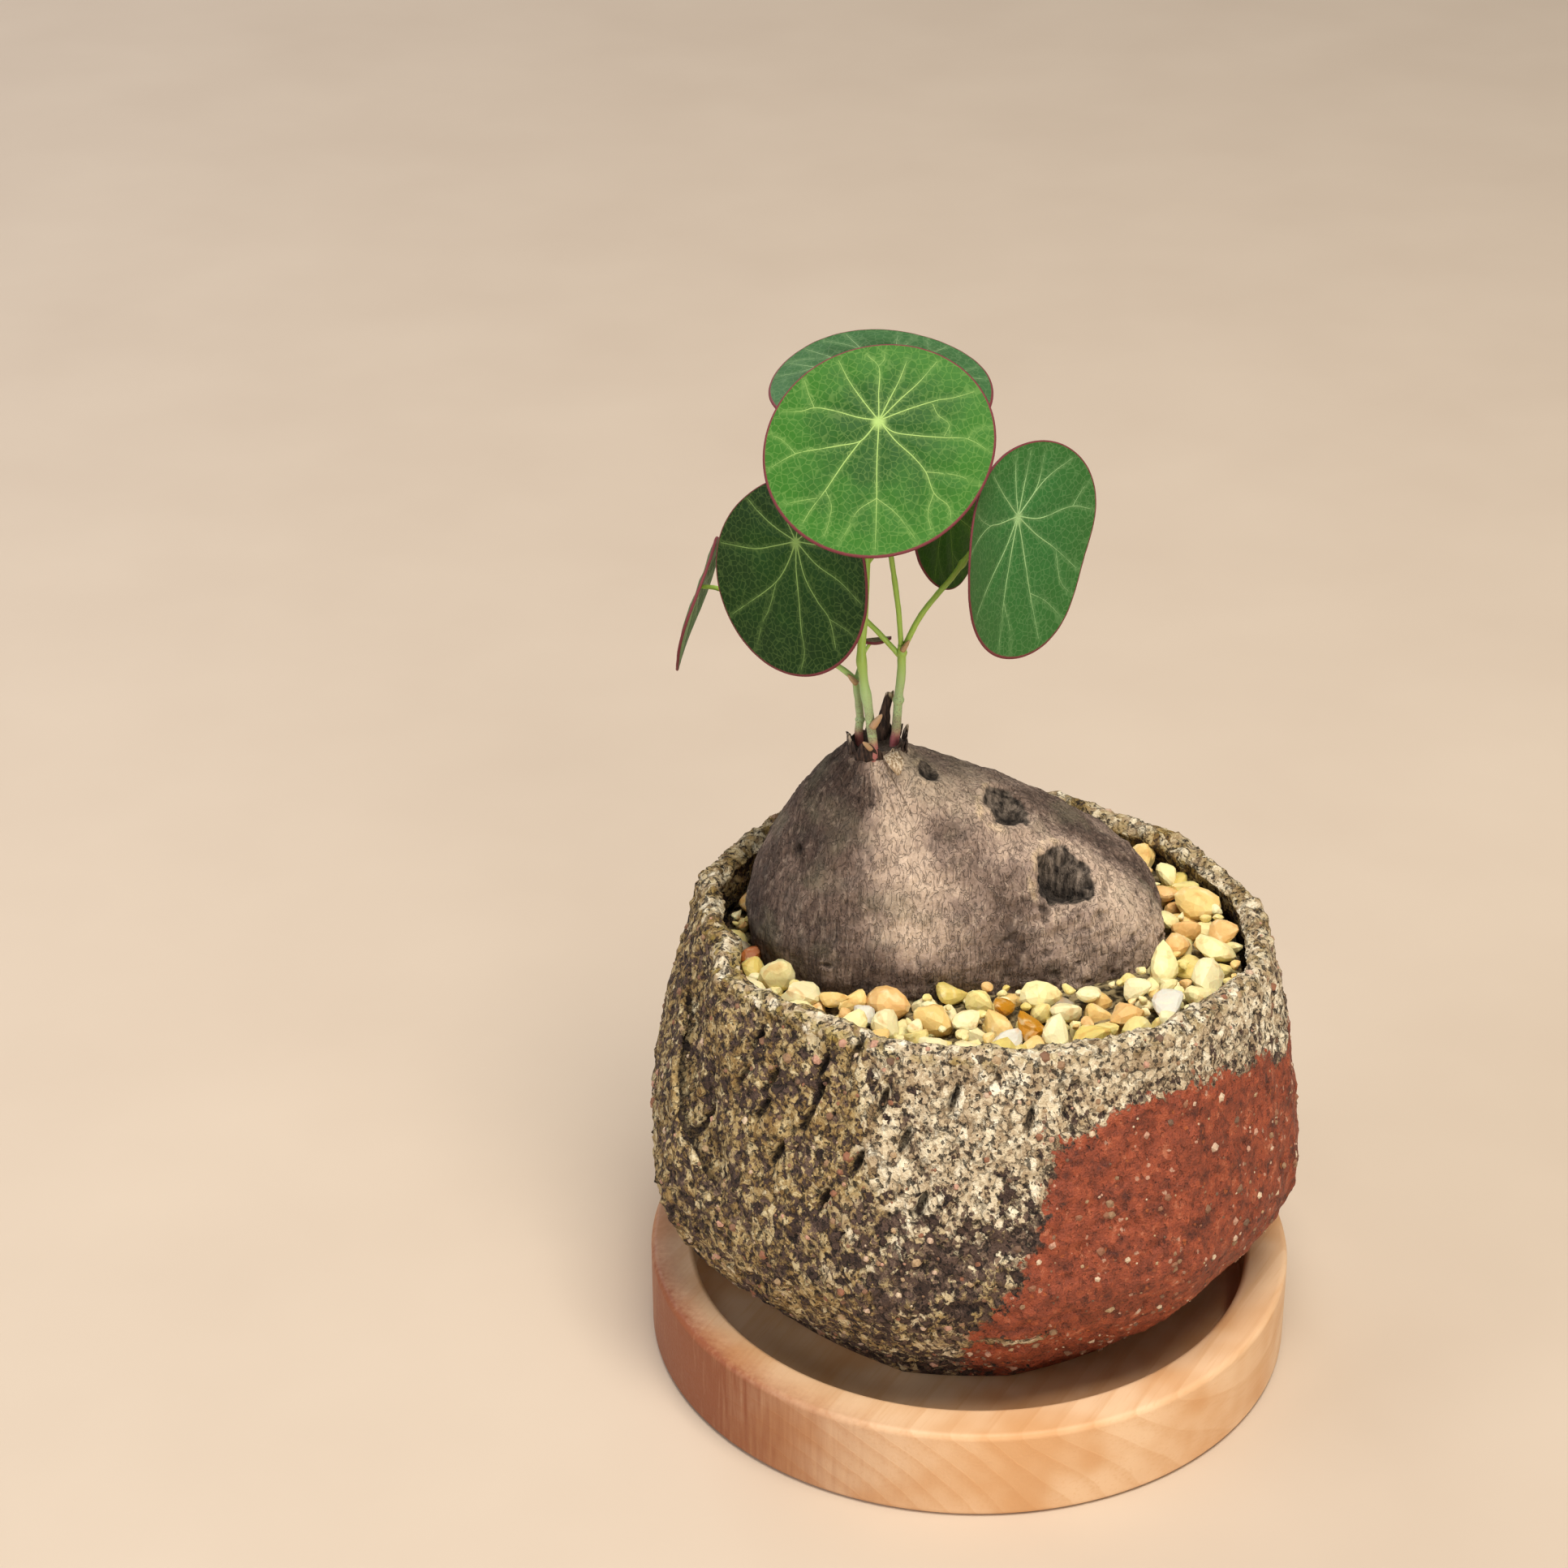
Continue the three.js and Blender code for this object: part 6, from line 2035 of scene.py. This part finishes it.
LEAVES = (
    Leaf("leaf_front", Slot.LEAF_FRONT,
         LeafFinish("front_leaf", srgb("1f4a14"), srgb("2f641b"), srgb("a9c772")),
         (-18.0, 0.0, 184.6), -92.0, 42.0, (19.4, 18.5), (0.1, -4.8), (-0.004, -0.004, -0.002), 0.35,
         ((2, 0.046, 46.0), (3, 0.012, -87.0)), veins=(
             vein(-92, (-92, .32), (-91, .57), (-91, .98)),
             fork((-91, .57), (-102, .67), (-105, .82), (-107, .93)),
             fork((-91, .57), (-80, .69), (-75, .83), (-72, .97)),
             vein(-51, (-51, .21), (-47, .41), (-48, .55), (-53, .72), (-51, .87), (-55, .97)),
             fork((-48, .55), (-35, .77), (-33, .88), (-32, .97)),
             fork((-53, .71), (-62, .8), (-65, .95)),
             vein(-42, (-42, .11), (-36, .17), (-21, .35), (-14, .57), (-11, .76), (-15, .97)),
             fork((-11, .76), (-4, .83), (-2, .97)),
             vein(23, (23, .26), (21, .58), (19, .72), (19, .92)),
             fork((19, .52), (7, .52), (-2, .6), (-13, .56)),
             vein(47, (47, .33), (46, .6), (48, .92)),
             vein(65, (65, .32), (65, .54), (67, .84)),
             vein(91, (91, .34), (91, .71), (100, .87)),
             fork((91, .71), (86, .79), (86, .9)),
             vein(128, (128, .31), (126, .63), (123, .92)),
             vein(171, (171, .2), (167, .46), (168, .65), (172, .74), (174, .92)),
             fork((168, .65), (159, .78), (150, .95)),
             vein(-130, (-130, .2), (-145, .34), (-153, .5), (-158, .72), (-157, .88), (-156, .97)),
             fork((-158, .72), (-168, .82), (-174, .97)),
             Vein(((-130, .2), (-128, .4), (-126, .64), (-126, .82), (-125, .97))),
             fork((-127, .72), (-134, .84), (-138, .95)),
             fork((-126, .64), (-118, .7), (-115, .81), (-114, .92)))),
    Leaf("leaf_back", Slot.LEAF_PALE,
         LeafFinish("back_leaf", srgb("25401f"), srgb("355c33"), srgb("93ae7c"), gloss=0.46),
         (-17.0, 27.5, 181.1), -92.0, 80.0, (19.8, 17.8), (0.6, -2.8), (-0.006, -0.004, 0.0), 0.4,
         ((2, 0.04, -57.0), (3, 0.03, 46.0)), veins=peltate_veins(2, 11, -90.0)),
    Leaf("leaf_right", Slot.LEAF_PALE,
         LeafFinish("right_leaf", srgb("2d5f2c"), srgb("2e5c28"), srgb("98b97e"), gloss=0.42),
         (5.9, 5.0, 164.6), -48.0, 12.0, (18.4, 17.4), (0.0, -5.7), (0.021, 0.005, -0.001), 0.3,
         ((2, 0.081, 67.0), (3, 0.067, 47.0)), -10.0, (
             vein(42, (42, .55), (36, .92)),
             vein(-10, (-10, .29), (2, .71), (-2, .97)), fork((2, .71), (13, .86), (16, .97)),
             vein(-40, (-40, .3), (-37, .6), (-38, .97)), fork((-37, .6), (-51, .77), (-50, .97)),
             vein(-78, (-78, .3), (-78, .57), (-77, .92)), fork((-78, .57), (-68, .7), (-61, .97)),
             vein(-105, (-105, .35), (-104, .61), (-102, .96)),
             fork((-104, .61), (-95, .81), (-94, .97)),
             vein(-122, (-122, .29), (-127, .56), (-130, .97)),
             vein(-173, (-173, .29), (-176, .45), (-168, .97)),
             fork((-176, .45), (-185, .7), (-192, .97)),
             vein(131, (131, .53), (130, .87)), vein(95, (95, .43), (92, .9)),
             vein(74, (74, .41), (74, .88)), vein(46, (46, .4), (59, .84)))),
    # The left leaf's dark green is partly painted shade, for a leaf that faces away from the light under
    # the front leaf.
    Leaf("leaf_left", Slot.LEAF_DARK,
         LeafFinish("left_leaf", srgb("173c07"), srgb("132f05"), srgb("8fae5e"), vein_strength=0.85),
         (-31.8, 3.0, 161.2), -131.0, 12.0, (16.9, 17.6), (-0.5, -6.6), (-0.003, -0.003, -0.002), 0.4,
         ((2, 0.02, 40.0), (3, 0.03, 73.0)), veins=(
             vein(-155, (-155, .26), (-156, .48), (-163, .97)),
             vein(167, (167, .38), (163, .73), (160, .97)),
             vein(-105, (-105, .18), (-111, .37), (-127, .97)),
             fork((-111, .37), (-107, .61), (-108, .73), (-106, .95)),
             vein(-80, (-80, .2), (-77, .46), (-77, .63), (-76, .82), (-79, .96)),
             vein(-63, (-63, .27), (-56, .49), (-52, .67), (-56, .88)),
             fork((-52, .67), (-46, .81), (-42, .97)),
             vein(-29, (-29, .31), (-23, .65), (-25, .93)), vein(8, (9, .4), (14, .93)),
             vein(48, (46, .5), (44, .92)), vein(90, (92, .5), (96, .92)),
             vein(130, (131, .5), (127, .92)))),
    Leaf("leaf_far_left", Slot.LEAF_PALE,
         LeafFinish("far_leaf", srgb("3a5a34"), srgb("466539"), srgb("8fa672"), under=srgb("617c58")),
         (-49.0, 24.0, 142.6), 170.0, 18.0, (12.5, 12.5), (0.0, -3.5), (-0.004, -0.004, -0.004), 0.3,
         ((3, 0.03, -90.0),), veins=peltate_veins(5, 10, -90.0)),
    # The inner leaf's dark green is partly painted shadow, cast by the front leaf.
    Leaf("leaf_inner", Slot.LEAF_DARK,
         LeafFinish("inner_leaf", srgb("234d00"), srgb("1f4400"), srgb("6f8f3a"), vein_strength=0.6),
         (-5.6, 16.0, 161.4), -38.0, 8.0, (10.5, 12.0), (0.0, -2.6), (0.004, 0.004, 0.0), 0.3,
         ((3, 0.03, -90.0),), veins=peltate_veins(6, 10, -90.0)),
    Leaf("leaf_young", Slot.LEAF_YOUNG,
         LeafFinish("young_leaf", srgb("6a5a34"), srgb("75603a"), srgb("9a8a52"), vein_strength=0.5),
         (-18.7, 13.0, 136.9), 90.0, 76.0, (2.7, 1.7), (-0.9, 0.0), (0.05, 0.05, 0.0), 0.05,
         veins=peltate_veins(7, 7), net=0.9, columns=64),
)


@dataclass(frozen=True)
class Lamp:
    """A soft square lamp that looks at the plant."""

    name: str
    place: Point
    size: float
    power: float
    tone: Colour

    def hang(self) -> None:
        """Adds the lamp to the scene."""
        light = bpy.data.lights.new(self.name, "AREA")
        light.shape = "SQUARE"
        light.size = self.size * MM
        light.energy = self.power
        light.color = self.tone[:3]
        holder = stand(self.name, light)
        holder.location = Vector(self.place) * MM
        aim = Vector((0.0, 0.0, 100.0)) * MM - holder.location
        holder.rotation_euler = aim.to_track_quat("-Z", "Y").to_euler()


@dataclass(frozen=True)
class Studio:
    """A warm pale table, soft light and the camera at the photograph's angle."""

    position: Point = (-34.25, -547.67, 421.05)
    pitch: float = 29.16
    roll: float = -0.42
    sensor: float = 36.0
    focal_share: float = 4389.0 / 1932.0
    table: tuple[Colour, Colour] = (srgb("c9b9a6"), srgb("bfae9b"))
    table_reach: float = 6000.0
    glow: Colour = srgb("e9e6e0")
    glow_strength: float = 0.32
    lamps: tuple[Lamp, ...] = (
        Lamp("key", (140.0, -380.0, 1500.0), 700.0, 26.0, srgb("fff8ee")),
        Lamp("front", (650.0, -1700.0, 330.0), 1000.0, 20.5, srgb("fff6ea")),
        Lamp("left", (-1500.0, -500.0, 700.0), 1000.0, 11.0, srgb("f3f5ff")),
        Lamp("behind", (-800.0, 1400.0, 1000.0), 900.0, 7.5, srgb("f6f6ff")))

    def camera(self) -> None:
        """Sets the camera up."""
        pitch, roll = math.radians(self.pitch), math.radians(self.roll)
        forward = np.array([0.0, math.cos(pitch), -math.sin(pitch)])
        level = np.array([1.0, 0.0, 0.0])
        raised = np.cross(level, forward)
        right = level * math.cos(roll) + raised * math.sin(roll)
        up = -level * math.sin(roll) + raised * math.cos(roll)
        made = stand("camera", bpy.data.cameras.new("camera"))
        made.data.lens = self.focal_share * self.sensor
        made.data.sensor_width = self.sensor
        made.data.clip_start = 0.01
        axes = np.column_stack([right, up, -forward])
        turn = Matrix(axes.tolist()).to_4x4()
        made.matrix_world = Matrix.Translation(Vector(self.position) * MM) @ turn
        bpy.context.scene.camera = made

    def floor(self) -> None:
        """Lays the table under the saucer."""
        steps = np.linspace(-self.table_reach, self.table_reach, 3)
        corners = np.array([(x, y, 0.0) for y in steps for x in steps])
        faces = [(i, i + 1, i + 4, i + 3) for i in (0, 1, 3, 4)]
        recipe = Recipe("pale_table")
        tone = recipe.mix(recipe.noise(60.0, 3.0), *self.table)
        finish = recipe.finish(tone, 0.6, Specular_IOR_Level=0.3)
        floor = stand("table", Surface(corners, faces).mesh("table", [finish]))

    def build(self) -> None:
        """Sets out the table, the lamps and the camera."""
        self.camera()
        self.floor()
        for lamp in self.lamps:
            lamp.hang()
        world = bpy.data.worlds.new("studio")
        world.use_nodes = True
        backdrop = Graph(world.node_tree)
        glow = backdrop.signal("ShaderNodeBackground", None, {
            "Color": self.glow, "Strength": self.glow_strength})
        backdrop.node("ShaderNodeOutputWorld", None, {"Surface": glow})
        bpy.context.scene.world = world
        view = bpy.context.scene.view_settings
        view.view_transform = "Standard"
        view.look = "None"


def dress_soil() -> None:
    """Gives the soil, which keeps its CAD solid, its finish."""
    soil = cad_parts["soil"]
    soil.data.materials.clear()
    soil.data.materials.append(EarthFinish("potting_mix", ("1f1712", "5a4532"), 2.4).make())


def main() -> None:
    logging.basicConfig(level=logging.INFO, format="%(message)s")
    pot = CarvedPot()
    caudex = Caudex()
    TurnedSaucer().build()
    pot.build()
    dress_soil()
    GravelDressing(pot, caudex).build()
    caudex.build()
    OldStem().build()
    stem_finish = StemFinish().make()
    for shoot in SHOOTS:
        shoot.build(stem_finish)
    veins = VeinTree()
    for leaf in LEAVES:
        leaf.build(veins)
    Studio().build()


if __name__ == "__main__":
    main()
